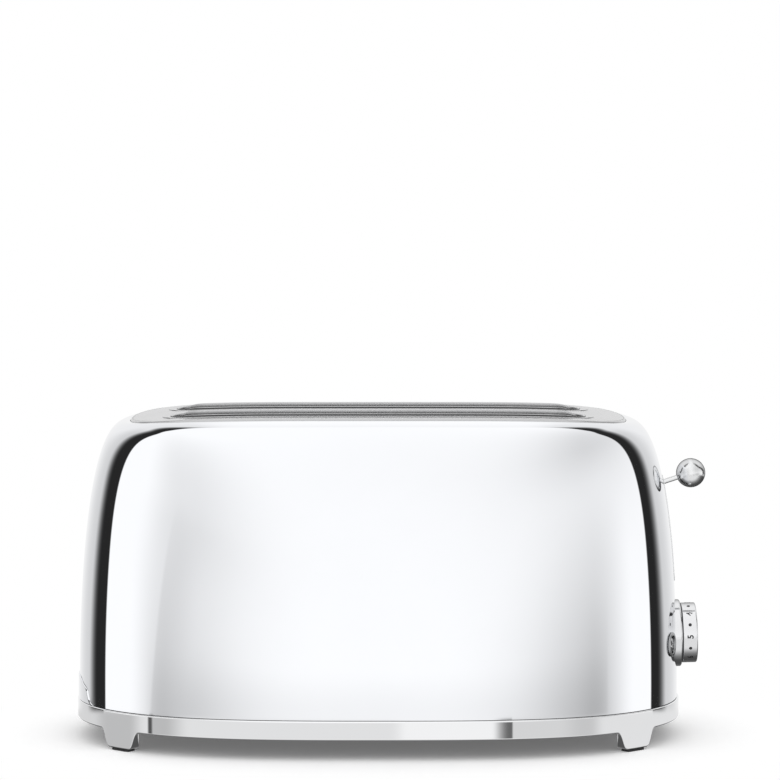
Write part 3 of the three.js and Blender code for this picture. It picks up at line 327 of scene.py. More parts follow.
class Sheet:
    def __init__(self, owner):
        owner.use_nodes = True
        self.tree = owner.node_tree
        self.tree.nodes.clear()

    # Adds a node: its type, its settings, then the values or links of its sockets
    def node(self, kind, settings=None, inputs=None):
        made = self.tree.nodes.new(kind)
        for name, setting in (settings or {}).items():
            setattr(made, name, setting)
        for name, given in (inputs or {}).items():
            self.feed(made.inputs[name], given)
        return made

    # Links a socket to a Value or another socket, or sets it
    def feed(self, socket, given):
        if isinstance(given, Value):
            self.tree.links.new(given.socket, socket)
        elif isinstance(given, bpy.types.NodeSocket):
            self.tree.links.new(given, socket)
        else:
            socket.default_value = given

    def value(self, kind, settings=None, inputs=None, output=0):
        return Value(self, self.node(kind, settings, inputs).outputs[output])

    def objectPlace(self, scale=(1, 1, 1)):
        place = self.node("ShaderNodeTexCoord").outputs["Object"]
        return self.node("ShaderNodeMapping", {}, {"Vector": place, "Scale": scale}).outputs["Vector"]

    # Patterns fixed to the object: soft clouds, and small cells of many tones
    def noise(self, scale, detail=3, roughness=0.55, stretch=(1, 1, 1)):
        place = self.objectPlace(stretch)
        inputs = {"Vector": place, "Scale": scale, "Detail": detail, "Roughness": roughness}
        return self.value("ShaderNodeTexNoise", {}, inputs)

    def cells(self, scale, stretch=(1, 1, 1)):
        return self.value("ShaderNodeTexVoronoi", {}, {"Vector": self.objectPlace(stretch), "Scale": scale})

    # A colour between two, by a share
    def blend(self, share, low, high):
        made = self.node("ShaderNodeMix", {"data_type": "RGBA"}, {0: share, 6: (*low, 1), 7: (*high, 1)})
        return made.outputs[2]


# A Principled material and a slot name beside it, which is the material's name if none is given.
# build gives the shader's sockets, and the height, distance and strength of its bump or None.
def surfaceMaterial(name, build, slot=None):
    material = bpy.data.materials.new(name)
    sheet = Sheet(material)
    sockets, bump = build(sheet)
    if bump:
        inputs = dict(zip(("Height", "Distance", "Strength"), bump))
        sockets["Normal"] = sheet.node("ShaderNodeBump", {}, inputs).outputs["Normal"]
    shader = sheet.node("ShaderNodeBsdfPrincipled", {}, sockets)
    sheet.node("ShaderNodeOutputMaterial", {}, {"Surface": shader.outputs["BSDF"]})
    return material, slot or name


# Polished steel or chrome: a clear mirror with faint wiping marks. An edgeTint below 1 darkens its outline.
def mirrorFinish(tint, gloss, edgeTint=1.0):
    def build(sheet):
        marks = sheet.noise(3, 4, stretch=(9, 9, 9))
        streaks = sheet.noise(1, 2, stretch=(40, 40, 900))
        colour = sheet.blend(marks, [c * 0.975 for c in tint], tint)
        return {"Base Color": colour, "Metallic": 1.0, "Roughness": gloss + 0.02 * marks * streaks,
                "Specular Tint": (edgeTint, edgeTint, edgeTint, 1)}, None
    return build


# Satin steel: fine lines along X that scatter the light, over a soft change of tone
def satinFinish(tint, roughness, lineDepth=0):
    def build(sheet):
        lines = sheet.noise(1, 3, 0.7, stretch=(25, 2600, 2600))
        cloud = sheet.noise(30, 3)
        colour = sheet.blend(lines * 0.6 + cloud * 0.4, [c * 0.93 for c in tint], [c * 1.05 for c in tint])
        sockets = {"Base Color": colour, "Metallic": 1.0, "Roughness": roughness + 0.1 * lines - 0.05 * cloud}
        return sockets, (lines, lineDepth, 0.25) if lineDepth else None
    return build


# Zinc-coated sheet: grey crystals of many tones under a dull film
def zincFinish(sheet):
    cells = sheet.cells(260)
    film = sheet.noise(45, 4)
    tone = cells * 0.7 + film * 0.5
    colour = sheet.blend(tone, (0.42, 0.44, 0.46), (0.68, 0.70, 0.72))
    return {"Base Color": colour, "Metallic": 0.9, "Roughness": 0.34 + 0.22 * film}, (cells, 0.00004, 0.4)


def wireFinish(sheet):
    lines = sheet.noise(1, 3, stretch=(60, 60, 1500))
    heat = sheet.noise(24, 2)
    colour = sheet.blend(heat, (0.60, 0.58, 0.55), (0.72, 0.71, 0.70))
    return {"Base Color": colour, "Metallic": 1.0, "Roughness": 0.22 + 0.16 * lines}, (lines, 0.00003, 0.3)


def rubberFinish(sheet):
    grain = sheet.noise(1400, 3)
    dust = sheet.noise(90, 4)
    colour = sheet.blend(dust, (0.012, 0.012, 0.013), (0.03, 0.03, 0.031))
    return {"Base Color": colour, "Roughness": 0.62 + 0.25 * grain}, (grain, 0.00006, 0.5)


def plasticFinish(sheet):
    grain = sheet.cells(1100)
    tone = sheet.noise(60, 3)
    colour = sheet.blend(tone, (0.018, 0.018, 0.02), (0.034, 0.034, 0.036))
    return {"Base Color": colour, "Roughness": 0.42 + 0.2 * grain}, (grain, 0.00005, 0.45)


# Mica board: thin flakes in brown and pale tan, with a soft sheen
def micaFinish(sheet):
    flakes = sheet.cells(210, stretch=(1, 1, 2.2))
    cloud = sheet.noise(28, 5)
    colour = sheet.blend(flakes * 0.8 + cloud * 0.4, (0.40, 0.32, 0.21), (0.76, 0.70, 0.57))
    return {"Base Color": colour, "Metallic": 0.15, "Roughness": 0.35 + 0.3 * flakes}, (flakes, 0.00005, 0.4)


# Heating ribbon: dull nickel grey that has run brown from the heat
def ribbonFinish(sheet):
    heat = sheet.noise(3, 3, stretch=(6, 6, 40))
    colour = sheet.blend(heat, (0.30, 0.25, 0.23), (0.52, 0.50, 0.48))
    lines = sheet.noise(1, 2, stretch=(80, 80, 2400))
    return {"Base Color": colour, "Metallic": 1.0, "Roughness": 0.38 + 0.15 * lines}, (lines, 0.00002, 0.3)


# Enamelled copper: fine turns of wire round the bobbin
def copperFinish(sheet):
    waves = {"Vector": sheet.objectPlace(), "Scale": 620.0, "Distortion": 0.4}
    turns = sheet.value("ShaderNodeTexWave", {"bands_direction": "Z"}, waves, 1)
    colour = sheet.blend(turns, (0.28, 0.10, 0.035), (0.70, 0.34, 0.15))
    return {"Base Color": colour, "Metallic": 0.9, "Roughness": 0.28 + 0.15 * turns}, (turns, 0.0002, 0.7)


# Circuit board: green lacquer over darker glass weave, with lighter traces below it
def boardFinish(sheet):
    weave = sheet.noise(1, 2, stretch=(1, 900, 900))
    bricks = {"Vector": sheet.objectPlace((1, 90, 140)), "Scale": 1.0}
    traces = sheet.value("ShaderNodeTexBrick", {}, bricks, 1)
    colour = sheet.blend(traces * 0.7 + weave * 0.3, (0.012, 0.10, 0.045), (0.05, 0.24, 0.11))
    sockets = {"Base Color": colour, "Roughness": 0.28 + 0.2 * weave, "Coat Weight": 0.3 * weave}
    return sockets, (traces, 0.00004, 0.3)


def inkFinish(sheet):
    wear = sheet.noise(900, 4)
    colour = sheet.blend(wear, (0.010, 0.010, 0.011), (0.028, 0.028, 0.03))
    return {"Base Color": colour, "Roughness": 0.45 + 0.2 * wear}, None


finishes = {
    "mirrorSteel": surfaceMaterial("mirror_steel", mirrorFinish((0.912, 0.922, 0.945), 0.012)),
    "bandChrome": surfaceMaterial("band_chrome", mirrorFinish((0.895, 0.90, 0.91), 0.010)),
    "controlChrome": surfaceMaterial("control_chrome", mirrorFinish((0.82, 0.825, 0.835), 0.09, 0.45)),
    "ballChrome": surfaceMaterial("ball_chrome", mirrorFinish((0.84, 0.845, 0.85), 0.16, 0.1),
                                  "control_chrome"),
    # Dark chrome for the button rings: painted shade standing in for the shadow in the bore round each cap
    "ringShadeChrome": surfaceMaterial("ring_chrome_painted_shade", mirrorFinish((0.42, 0.425, 0.43), 0.12), "control_chrome"),
    "satinSteel": surfaceMaterial("satin_steel", satinFinish((0.575, 0.577, 0.583), 0.20)),
    "spring": surfaceMaterial("spring_steel", satinFinish((0.5, 0.5, 0.51), 0.3, 0.00002)),
    "zinc": surfaceMaterial("zinc_sheet", zincFinish),
    "wire": surfaceMaterial("guard_wire", wireFinish),
    "rubber": surfaceMaterial("pad_rubber", rubberFinish),
    "mica": surfaceMaterial("mica_board", micaFinish, "mica_card"),
    "ribbon": surfaceMaterial("heating_ribbon", ribbonFinish, "mica_card"),
    "copper": surfaceMaterial("coil_copper", copperFinish),
    "board": surfaceMaterial("board_green", boardFinish),
    "plastic": surfaceMaterial("black_plastic", plasticFinish),
    # Dark ink for the printed numbers and signs, also laid as painted shade in the gap behind the dial
    "ink": surfaceMaterial("dial_ink_and_shade", inkFinish, "black_plastic"),
    # Black plastic laid as painted shade where only a shadow falls
    "paintedShade": surfaceMaterial("painted_shade", plasticFinish, "black_plastic"),
}
print("materials made:", len(finishes))

# The plan of the body: |x / end| ** endPower + |y / side| ** sidePower = 1. One quarter is followed up the
# end by even steps in y, then along the side by even steps in x, and points are taken from it where its
# length and its turn together have grown evenly. Each point has its outward normal and its running length.
plan = {"sidePower": 2.2, "turnShare": 0.7, "fineSteps": 1200}


def planQuarter(end, side, endPower):
    share = np.linspace(0, 1, plan["fineSteps"])
    upward = side * plan["turnShare"] * share
    outer = end * (1 - (upward / side) ** plan["sidePower"]) ** (1 / endPower)
    inward = outer[-1] * (1 - share[1:])
    across = side * (1 - (inward / end) ** endPower) ** (1 / plan["sidePower"])
    x, y = np.r_[outer, inward], np.r_[upward, across]
    normal = np.stack([endPower * (x / end) ** (endPower - 1) / end,
                       plan["sidePower"] * (y / side) ** (plan["sidePower"] - 1) / side], -1)
    normal /= np.linalg.norm(normal, axis=1, keepdims=True)
    run = np.r_[0, np.cumsum(np.hypot(np.diff(x), np.diff(y)))]
    measure = run / run[-1] + np.arctan2(normal[:, 1], normal[:, 0]) / (math.pi / 2)
    return {"x": x, "y": y, "nx": normal[:, 0], "ny": normal[:, 1], "run": run, "measure": measure}


# The four quarters of a plan at chosen values of one key, as rows of x, y, nx, ny and run
def planPoints(quarter, values, key):
    columns = [np.interp(values, quarter[key], quarter[name]) for name in ("x", "y", "nx", "ny", "run")]
    rows = np.stack(columns, -1)
    back = rows[::-1]
    turns = ((rows, 1, 1), (back, -1, 1), (rows, -1, -1), (back, 1, -1))
    return np.vstack([(part * [alongX, alongY, alongX, alongY, 1])[:-1] for part, alongX, alongY in turns])


def planRing(end, side, endPower, steps=96):
    quarter = planQuarter(end, side, endPower)
    return planPoints(quarter, np.linspace(0, quarter["measure"][-1], steps + 1), "measure")


# The drawn shell: its plan grows from the slim rim to the wide foot as climb falls from a quarter turn to 0.
# reach = cos(climb) ** (2 / shoulderPower) blends the plans, and rise = sin(climb) ** (2 / wallPower) lifts
# them from the foot to the rim, which sags towards its two tips by sag * |x / end| ** sagPower.
plateLow, plateHigh = centredBox("top_plate")
shellLow, shellHigh = centredBox("body_shell")
plateGap = 0.45
shell = {
    "rimLength": plateHigh[0] - plateLow[0] + 2 * plateGap,
    "rimDepth": plateHigh[1] - plateLow[1] + 2 * plateGap,
    "footLength": shellHigh[0] - shellLow[0],
    "footDepth": shellHigh[1] - shellLow[1],
    "rimHeight": shellHigh[2],
    "foot": shellLow[2],
    "sag": 4, "sagPower": 5,
    "wallPower": 2.15, "shoulderPower": 2.6,
    "footEndPower": 3.07, "rimEndPower": 12,
    "wall": 1.2, "ledgeStep": 1.5, "ledgeWidth": 4, "rimRound": 0.25,
    "climbSteps": 72, "innerSteps": 24, "innerEnd": 0.93, "climbEase": 1.5,
    "holeReach": 300, "shaftHole": 3.6, "shaftReach": 12, "buttonHole": 6.7, "buttonReach": 8,
}


def crownDrop(share):
    return shell["sag"] * np.abs(share) ** shell["sagPower"]


def formSizes(climb):
    reach = np.cos(climb) ** (2 / shell["shoulderPower"])
    return {
        "end": mix(shell["rimLength"], shell["footLength"], reach) / 2,
        "side": mix(shell["rimDepth"], shell["footDepth"], reach) / 2,
        "endPower": 1 / mix(1 / shell["rimEndPower"], 1 / shell["footEndPower"], reach),
        "rise": np.sin(climb) ** (2 / shell["wallPower"]),
    }


def formRing(climb, offset=0.0):
    size = formSizes(climb)
    out, up = offset * math.cos(climb), offset * math.sin(climb)
    ring = planRing(size["end"] + out, size["side"] + out, size["endPower"])
    top = shell["rimHeight"] - crownDrop(ring[:, 0] / (size["end"] + out))
    return np.c_[ring[:, :2], mix(shell["foot"], top, size["rise"]) + up]


def rimRing(inset, drop):
    end, side = shell["rimLength"] / 2 - inset, shell["rimDepth"] / 2 - inset
    ring = planRing(end, side, shell["rimEndPower"])
    return np.c_[ring[:, :2], shell["rimHeight"] - crownDrop(ring[:, 0] / end) - drop]


# The right-hand end wall's X at Y and Z, found by steps because the rim's sag depends on X
def wallX(y, z):
    y, z = np.asarray(y, float), np.asarray(z, float)
    share = np.ones(np.broadcast(y, z).shape)
    for _ in range(8):
        top = shell["rimHeight"] - crownDrop(share)
        rise = np.clip((z - shell["foot"]) / (top - shell["foot"]), 0, 1)
        size = formSizes(np.arcsin(rise ** (shell["wallPower"] / 2)))
        x = size["end"] * (1 - np.abs(y / size["side"]) ** plan["sidePower"]) ** (1 / size["endPower"])
        share = x / size["end"]
    return x


# A frame on the end wall: X along the wall's outward normal, Z up the wall
def wallFrame(y, z, step=0.3):
    slopeY = (wallX(y + step, z) - wallX(y - step, z)) / (2 * step)
    slopeZ = (wallX(y, z + step) - wallX(y, z - step)) / (2 * step)
    out = Vector((1, -slopeY, -slopeZ)).normalized()
    across = Vector((0, 0, 1)).cross(out).normalized()
    up = out.cross(across)
    place = Matrix((out, across, up)).transposed().to_4x4()
    place.translation = Vector((float(wallX(y, z)), y, z))
    return place


controls = {"dialZ": 62.5, "buttonY": 34, "buttonZ": 60}
dialFrame = wallFrame(0, controls["dialZ"])
buttonFrames = {
    "front": wallFrame(-controls["buttonY"], controls["buttonZ"]),
    "rear": wallFrame(controls["buttonY"], controls["buttonZ"]),
}

# Lever: the rod climbs outward at a slope to the ball
ballLow, ballHigh = centredBox("lever_ball")
ballRadius = (ballHigh[2] - ballLow[2]) / 2
lever = {
    "ballRadius": ballRadius, "ballX": ballHigh[0] - ballRadius, "ballZ": (ballHigh[2] + ballLow[2]) / 2,
    "rodRadius": 1.5, "rodClear": 0.1, "rodRound": 0.3, "rodTuck": 0.5, "slope": math.radians(18.5),
    "seatClear": 0.25, "seatDepth": 0.3,
    "slotWidth": 4.6, "slotClear": 0.6, "travel": frame["joints"][0]["range_m"][1] / mm,
    "trimWidth": 2.4, "trimProud": 0.7, "trimLow": 0.32, "trimInset": 0.02,
}


def rodZ(x):
    return lever["ballZ"] + (x - lever["ballX"]) * math.tan(lever["slope"])


# Where the rod passes the wall with the lever down by a drop
def rodHeightAtWall(drop):
    z = lever["ballZ"] - drop
    for _ in range(12):
        z = rodZ(float(wallX(0, z))) - drop
    return z


# The round-ended outline of the lever's slot in Y and Z, grown by a margin, as points with outward normals
def slotLine(margin, steps=20):
    reach = lever["slotWidth"] / 2 + margin
    room = lever["rodRadius"] + lever["slotClear"] + margin
    low, high = rodHeightAtWall(lever["travel"]) - room, rodHeightAtWall(0) + room
    arc = directions(np.linspace(0, math.pi, steps + 1))
    down = mix(high - reach, low + reach, np.linspace(0, 1, 60)[1:-1])[:, None]
    left, right = down * 0 + [-1, 0], down * 0 + [1, 0]
    normals = np.vstack([arc, left, -arc, right])
    middles = np.vstack([arc[:, :1] * 0 + high - reach, down, arc[:, :1] * 0 + low + reach, down[::-1]])
    return normals * reach + middles * [0, 1], normals


# Crumb tray pull: an arch with concave feet, a shoulder each side and a low crown, as shares of its half
# base and its height
pull = {
    "base": 100, "height": 14.8, "proud": 0.8, "wall": 1.8, "edgeRound": 0.7, "gap": 0.45, "least": 0.01,
}
archShares = [
    [(1, 0), (0.88, 0.03), (0.86, 0.2), (0.82, 0.45)],
    [(0.82, 0.45), (0.78, 0.74), (0.68, 0.66), (0.56, 0.86)],
    [(0.56, 0.86), (0.48, 0.98), (0.3, 1), (0, 1)],
]


# The arch from its right foot over the crown to its left foot, in Y and Z, grown by a margin
def archLine(margin=0.0, steps=14):
    t = np.linspace(0, 1, steps + 1)[:, None]
    half = []
    for curve in archShares:
        a, b, c, d = np.array(curve, float)
        points = (1 - t) ** 3 * a + 3 * t * (1 - t) ** 2 * b + 3 * t ** 2 * (1 - t) * c + t ** 3 * d
        half.append(points[:-1])
    half = np.vstack([*half, [(0, 1)]])
    whole = np.vstack([half, (half[:-1] * [-1, 1])[::-1]])
    return whole * [pull["base"] / 2 + margin, pull["height"] + margin] + [0, shell["foot"]]


def makeShell():
    edge, step, wall, ledge = shell["rimRound"], shell["ledgeStep"], shell["wall"], shell["ledgeWidth"]
    rings = [formRing(climb) for climb in climbsUpTo(1, shell["climbSteps"])]
    for inset, drop in ((edge * 0.4, edge * 0.12), (edge * 0.8, edge * 0.5), (edge, edge * 1.2), (edge, step),
                        (ledge, step), (ledge, step + wall), (-wall, step + wall)):
        rings.append(rimRing(inset, drop))
    rings += [formRing(climb, -wall) for climb in climbsUpTo(shell["innerEnd"], shell["innerSteps"])[::-1]]
    side = pull["base"] / 2 + pull["gap"]
    mouth = np.vstack([archLine(pull["gap"]), [[-side, 0], [side, 0]]])
    holes = [
        extrudeX(mouth, -shell["holeReach"], -shell["rimLength"] / 2),
        extrudeX(slotLine(0)[0], shell["rimLength"] / 2, shell["holeReach"]),
        drill(shell["shaftHole"], shell["shaftReach"], dialFrame),
    ]
    holes += [drill(shell["buttonHole"], shell["buttonReach"], place) for place in buttonFrames.values()]
    makePiece("shell_skin", skin(rings, loop=True), "mirrorSteel", ["body_shell"], cuts=holes)


# Climbs from 0 to a share of a quarter turn, set closer together towards its end
def climbsUpTo(end, steps):
    return math.pi / 2 * (1 - (1 - np.linspace(0, end, steps + 1)) ** shell["climbEase"])


makeShell()
print("shell made")

# Top plate: a raised sheet with a turned-down edge, and a rolled rim round each bread slot. Its top lies
# proud of the shell's rim and sags with it.
slotMiddles = {"front": -30, "rear": 30}
plate = {
    "proud": 1.3, "sheet": 1.1, "edgeRound": 1.5, "edgeLow": -1.2, "pillow": 0.25, "pillowWidth": 22,
    "endFrom": 0.55, "endTo": 0.93, "poleShare": 0.03,
    "shadeStripHigh": 0.35, "shadeStripLow": 1.15, "shadeStripProud": 0.05, "shadeStripEndHigh": 0.1, "shadeStripEndLow": 0.05,
    "shadeStripLowest": 0.45, "shadeBandAngles": (0, 17, 34, 51, 68, 84),
    "slotLength": 254, "slotWidth": 35, "holeShare": 0.6, "holeReach": 20,
    "lipRise": 1.59, "lipEndRise": 0.5, "lipWall": 1.3, "lipFoot": 6.2, "lipSkirt": 5, "flankPower": 2.0,
    "lipEnds": 0.72, "lipSink": 0.2, "thinnest": 0.02,
}


def plateTop(x):
    return shell["rimHeight"] + plate["proud"] - crownDrop(np.clip(x / (shell["rimLength"] / 2), -1, 1))


# One ring of the plate's surface. At its two ends the plate falls away a little towards its edge.
def plateRing(inset, share, rise):
    end = (shell["rimLength"] / 2 - plateGap - inset) * share
    side = (shell["rimDepth"] / 2 - plateGap - inset) * share
    ring = planRing(end, side, shell["rimEndPower"])
    fall = plate["pillow"] * (1 - min(inset / plate["pillowWidth"], 1)) ** 2 * endShare(ring[:, 0])
    return np.c_[ring[:, :2], plateTop(ring[:, 0]) + rise - fall]


# 0 along the middle of the plate, 1 at its two ends, and a smooth climb between them
def endShare(x):
    share = np.abs(x) / (shell["rimLength"] / 2)
    return smoothShare(np.clip((share - plate["endFrom"]) / (plate["endTo"] - plate["endFrom"]), 0, 1))


# The stadium round a slot as rows of x, y, nx, ny, from its centre
def stadium(arcSteps=36, sideSteps=56):
    radius = plate["slotWidth"] / 2
    straight = plate["slotLength"] / 2 - radius
    out = directions(np.linspace(-math.pi / 2, math.pi / 2, arcSteps + 1))
    arc = np.c_[out * radius + [straight, 0], out]
    x = np.linspace(straight, -straight, sideSteps + 1)[1:-1]
    side = np.stack([x, x * 0 + radius, x * 0, x * 0 + 1], -1)
    return np.vstack([arc, side, arc * [-1, -1, -1, -1], side * [-1, -1, 1, -1]])


def makeTopPlate():
    edge, low, sheet = plate["edgeRound"], plate["edgeLow"] - plate["proud"], plate["sheet"]
    width, reach = plate["pillowWidth"], plate["holeReach"]
    corner = roundedLine([(sheet, low, 0), (0, low, 0.2), (0, 0, edge), (2 * edge, 0, 0)], steps=8)
    under = roundedLine([(2 * edge, -sheet, 0), (sheet, -sheet, edge * 0.5), (sheet, low, 0)])
    insets = np.linspace(2 * edge, width, 8)
    shares = np.linspace(1, plate["poleShare"], 22)
    stations = [(width, share, -sheet) for share in shares[:0:-1]]
    stations += [(inset, 1, -sheet) for inset in insets[:0:-1]]
    stations += [(inset, 1, rise) for inset, rise in [*under[:-1], *corner]]
    stations += [(inset, 1, 0) for inset in insets[1:]]
    stations += [(width, share, 0) for share in shares[1:]]
    top = float(plateTop(0))
    surface = skin([plateRing(*station) for station in stations], poles=[[0, 0, top - sheet], [0, 0, top]])
    line = stadium()
    hole = line[:, :2] + line[:, 2:] * mix(plate["lipWall"], plate["lipFoot"], plate["holeShare"])
    holes = [extrudeZ(hole + [0, y], top - reach, top + reach) for y in slotMiddles.values()]
    makePiece("top_plate_sheet", surface, "satinSteel", ["top_plate"], cuts=holes)
    for place, y in slotMiddles.items():
        makePiece(f"slot_rim_{place}", slotRim(line, y), "satinSteel", ["top_plate"], crease=50)
        # Each rim gets a dark strip of painted shade under its lip
        makePiece(f"slot_shade_strip_{place}", slotShadeStrip(line, y), "paintedShade", ["top_plate"])
    # A dark band of painted shade round the plate's edge
    makePiece("plate_shade_band", plateShadeBand(), "paintedShade", ["top_plate"])


# How high the lip stands along a slot: low round the ends and high along the sides
def lipRise(line):
    share = np.clip((np.abs(line[:, 3]) - plate["lipEnds"]) / (1 - plate["lipEnds"]), 0, 1)
    return mix(plate["lipEndRise"], plate["lipRise"], smoothShare(share))


# How far out a rim's outer side is at a height above the plate: its round top, then its hollow flank
def rimOut(height, rise):
    half = plate["lipWall"] / 2
    share = np.clip(height / (rise - half), 0, 1) ** (1 / plate["flankPower"])
    flank = mix(plate["lipFoot"], plate["lipWall"], share)
    above = np.clip(height - rise + half, 0, half)
    return np.where(above > 0, half + np.sqrt(half ** 2 - above ** 2), flank)


# A ring round a slot, at a distance out from its edge and a height above the plate
def slotRing(line, centreY, out, height):
    out = np.broadcast_to(out, len(line))[:, None]
    return np.c_[line[:, :2] + line[:, 2:] * out + [0, centreY], plateTop(line[:, 0]) + height]


# A dark strip of painted shade along the outer side of a rim, standing in for the shadow under its rolled
# lip: a thin skin between two heights that follow the rim's own
def slotShadeStrip(line, centreY):
    rise, proud = lipRise(line), plate["shadeStripProud"]
    share = (rise - plate["lipEndRise"]) / (plate["lipRise"] - plate["lipEndRise"])
    high = rise - mix(plate["shadeStripEndHigh"], plate["shadeStripHigh"], share)
    low = np.maximum(mix(plate["shadeStripEndLow"], rise - plate["shadeStripLow"], share),
                     plate["shadeStripLowest"] * (rise - plate["lipWall"] / 2))
    rings = []
    for part, lift in ((0, -2), (0, 1), (0.25, 1), (0.5, 1), (0.75, 1), (1, 1), (1, -2)):
        height = mix(low, high, part)
        rings.append(slotRing(line, centreY, rimOut(height, rise) + lift * proud, height + lift * proud))
    return skin(rings, loop=True)


# The dark band of painted shade round the plate's edge, standing in for the shadow gap between plate and
# shell: it climbs over the rounded edge at the plate's two ends
def plateShadeBand():
    proud, edge, low = plate["shadeStripProud"], plate["edgeRound"], plate["edgeLow"] - plate["proud"]
    foot = plateRing(-proud, 1, -edge)
    share = endShare(foot[:, 0])[:, None]

    def climbed(angle, radius):
        ring = plateRing(edge - radius * math.cos(angle), 1, radius * math.sin(angle) - edge)
        return mix(foot, ring, share)

    angles = np.radians(plate["shadeBandAngles"])
    rings = [plateRing(4 * proud, 1, low), plateRing(-proud, 1, low)]
    rings += [climbed(angle, edge + proud) for angle in angles]
    rings.append(climbed(angles[-1], edge - 4 * proud) - [0, 0, proud])
    return skin(rings, loop=True)


# The rolled rim: its section is a round-topped wall with a hollow flank, (1 - t) ** flankPower high, that
# runs out on the plate. It stands high along the sides and low round the ends.
def slotRim(line, centreY):
    wall, foot, skirt, sheet = plate["lipWall"], plate["lipFoot"], plate["lipSkirt"], plate["sheet"]
    rise, half = lipRise(line), wall / 2
    stations = [(0, -skirt), (0, -skirt / 2), (0, -1)]
    for angle in np.linspace(0, math.pi, 11):
        stations.append((half * (1 - math.cos(angle)), rise - half * (1 - math.sin(angle))))
    for t in np.linspace(0, 1, 13)[1:]:
        flank = (rise - half) * (1 - t) ** plate["flankPower"]
        stations.append((mix(wall, foot, t), np.maximum(flank, plate["thinnest"])))
    stations += [(foot, -plate["lipSink"]), (foot - 2 * plate["lipSink"], -sheet * 0.9), (wall, -sheet),
                 (wall, -skirt)]
    return skin([slotRing(line, centreY, out, height) for out, height in stations], loop=True)


makeTopPlate()
print("top plate made")

# Base band: one section carried round the foot's plan. Its lower edge dips into four feet, whose share is
# 1 - a ** 2 / (a ** 2 + (1 - a) ** 3), where a grows from 0 at the flat of the foot to 1 past its flank.
band = {
    "end": (bandHigh[0] - bandLow[0]) / 2, "side": bandHigh[1], "top": bandHigh[2], "underside": 12.4,
    "wall": 2.2, "flange": 10, "bevel": 0.75,
    "footX": 158.5, "footWidth": 15.6, "footFlank": 10, "footLow": bandLow[2], "footThickness": 8.5,
}
bandCurve = planQuarter(band["end"], band["side"], shell["footEndPower"])
footRun = float(np.interp(-band["footX"], -bandCurve["x"], bandCurve["run"]))


def footShare(run):
    away = np.clip((np.abs(run - footRun) - band["footWidth"] / 2) / band["footFlank"], 0, 1)
    return 1 - away ** 2 / (away ** 2 + (1 - away) ** 3)


def makeBand():
    total = bandCurve["run"][-1]
    reach = band["footWidth"] / 2 + band["footFlank"]
    runs = np.r_[np.linspace(0, footRun - reach, 60)[:-1], np.linspace(footRun - reach, footRun + reach, 120),
                 np.linspace(footRun + reach, total, 70)[1:]]
    stations = planPoints(bandCurve, runs, "run")
    share = footShare(stations[:, 4])
    low = mix(band["underside"], band["footLow"], share)
    thick = mix(band["wall"], band["footThickness"], share)
    rings = []

    def add(inset, height):
        inset = np.broadcast_to(inset, share.shape)[:, None]
        rings.append(np.c_[stations[:, :2] - stations[:, 2:4] * inset, np.broadcast_to(height, share.shape)])

    bevel, top, wall, flange = band["bevel"], band["top"], band["wall"], band["flange"]
    quarter = np.linspace(0, math.pi / 2, 7)
    add(thick, low)
    add(bevel * 1.2, low)
    for angle in quarter:
        add(bevel * (1 - math.sin(angle)), low + bevel * (1 - math.cos(angle)))
    add(0, low + bevel * 1.2)
    for part in (0.25, 0.5, 0.75):
        add(0, mix(low + bevel, top - bevel, part))
    add(0, top - bevel * 1.2)
    for angle in quarter:
        add(bevel * (1 - math.cos(angle)), top - bevel * (1 - math.sin(angle)))
    add(bevel * 1.3, top)
    add(flange, top)
    add(flange, top - wall)
    add(thick, top - wall)
    makePiece("base_band", skin(rings, loop=True), "bandChrome", ["base_ring"])


makeBand()
print("band made")


def makeLever():
    radius, bore = lever["ballRadius"], lever["rodRadius"] + lever["rodClear"]
    axis = Matrix.Rotation(-lever["slope"], 4, "Y")
    axis.translation = Vector((lever["ballX"], 0, lever["ballZ"]))
    seat = math.asin((bore + lever["seatClear"]) / radius)
    arc = np.linspace(math.pi - seat, 0, 90)
    depth = -radius / 2
    mouth = lever["seatDepth"] - math.sqrt(radius ** 2 - bore ** 2)
    ballLine = [[depth, 0], [depth, bore], [mouth, bore]]
    ballLine += [[radius * math.cos(a), radius * math.sin(a)] for a in arc]
    ballLine[-1][1] = 0
    makePiece("ball_knob", revolve(ballLine, axis, 128), "ballChrome", ["lever_ball"], "lift")
    start = (centredBox("lever_rod")[0][0] - lever["ballX"]) / math.cos(lever["slope"]) + lever["rodTuck"]
    end, side = depth - lever["rodClear"], lever["rodRadius"]
    rod = roundedLine([(start, 0, 0), (start, side, lever["rodRound"]), (end, side, 0), (end, 0, 0)])
    makePiece("lever_stem", revolve(rod, axis, 40), "ballChrome", ["lever_rod"], "lift")


# The trim is a flat rounded bead that follows the wall round the lever's slot
def makeSlotTrim():
    line, normal = slotLine(0)
    low, high = lever["trimLow"], lever["trimProud"]
    start, end = lever["trimInset"], lever["trimWidth"] - lever["trimInset"]
    section = roundedLine([(start, low, 0), (start, high, 0.25), (end, high, 0.3), (end, low, 0)], steps=5)
    rings = []
    for margin, height in section:
        points = line + normal * margin
        rings.append(np.c_[wallX(points[:, 0], points[:, 1]) + height, points])
    makePiece("lever_slot_bead", skin(rings, loop=True), "controlChrome", ["lever_slot_trim"])


makeLever()
makeSlotTrim()
print("lever made")

# Dial: a dished knob with a grip bar across its face, and plain numbers with dots between them on its side
dial = {
    "radius": 18.8, "back": 3.2, "face": 12.6, "bevel": 0.9, "bore": 3.3, "boreTop": 3,
    "dish": 3.2, "dishWall": 1.3, "rimWidth": 2.25, "gripWidth": 5, "gripGap": 1.6, "gripLow": 0.3,
    "bezelRadius": 21, "bezelProud": 2.9, "bezelBack": 2.6, "bezelBore": 3.7, "bezelFloor": 1.16,
    "shadeRingLow": 3.0, "shadeRingHigh": 3.7, "shadeRingInner": 15, "shadeRingOuter": 18.72,
    "digits": "123456", "firstAngle": 184.5, "pitch": 46.3, "digitHeight": 3.9, "digitSpread": 0.028,
    "dotRadius": 1.05, "ink": 0.03,
}


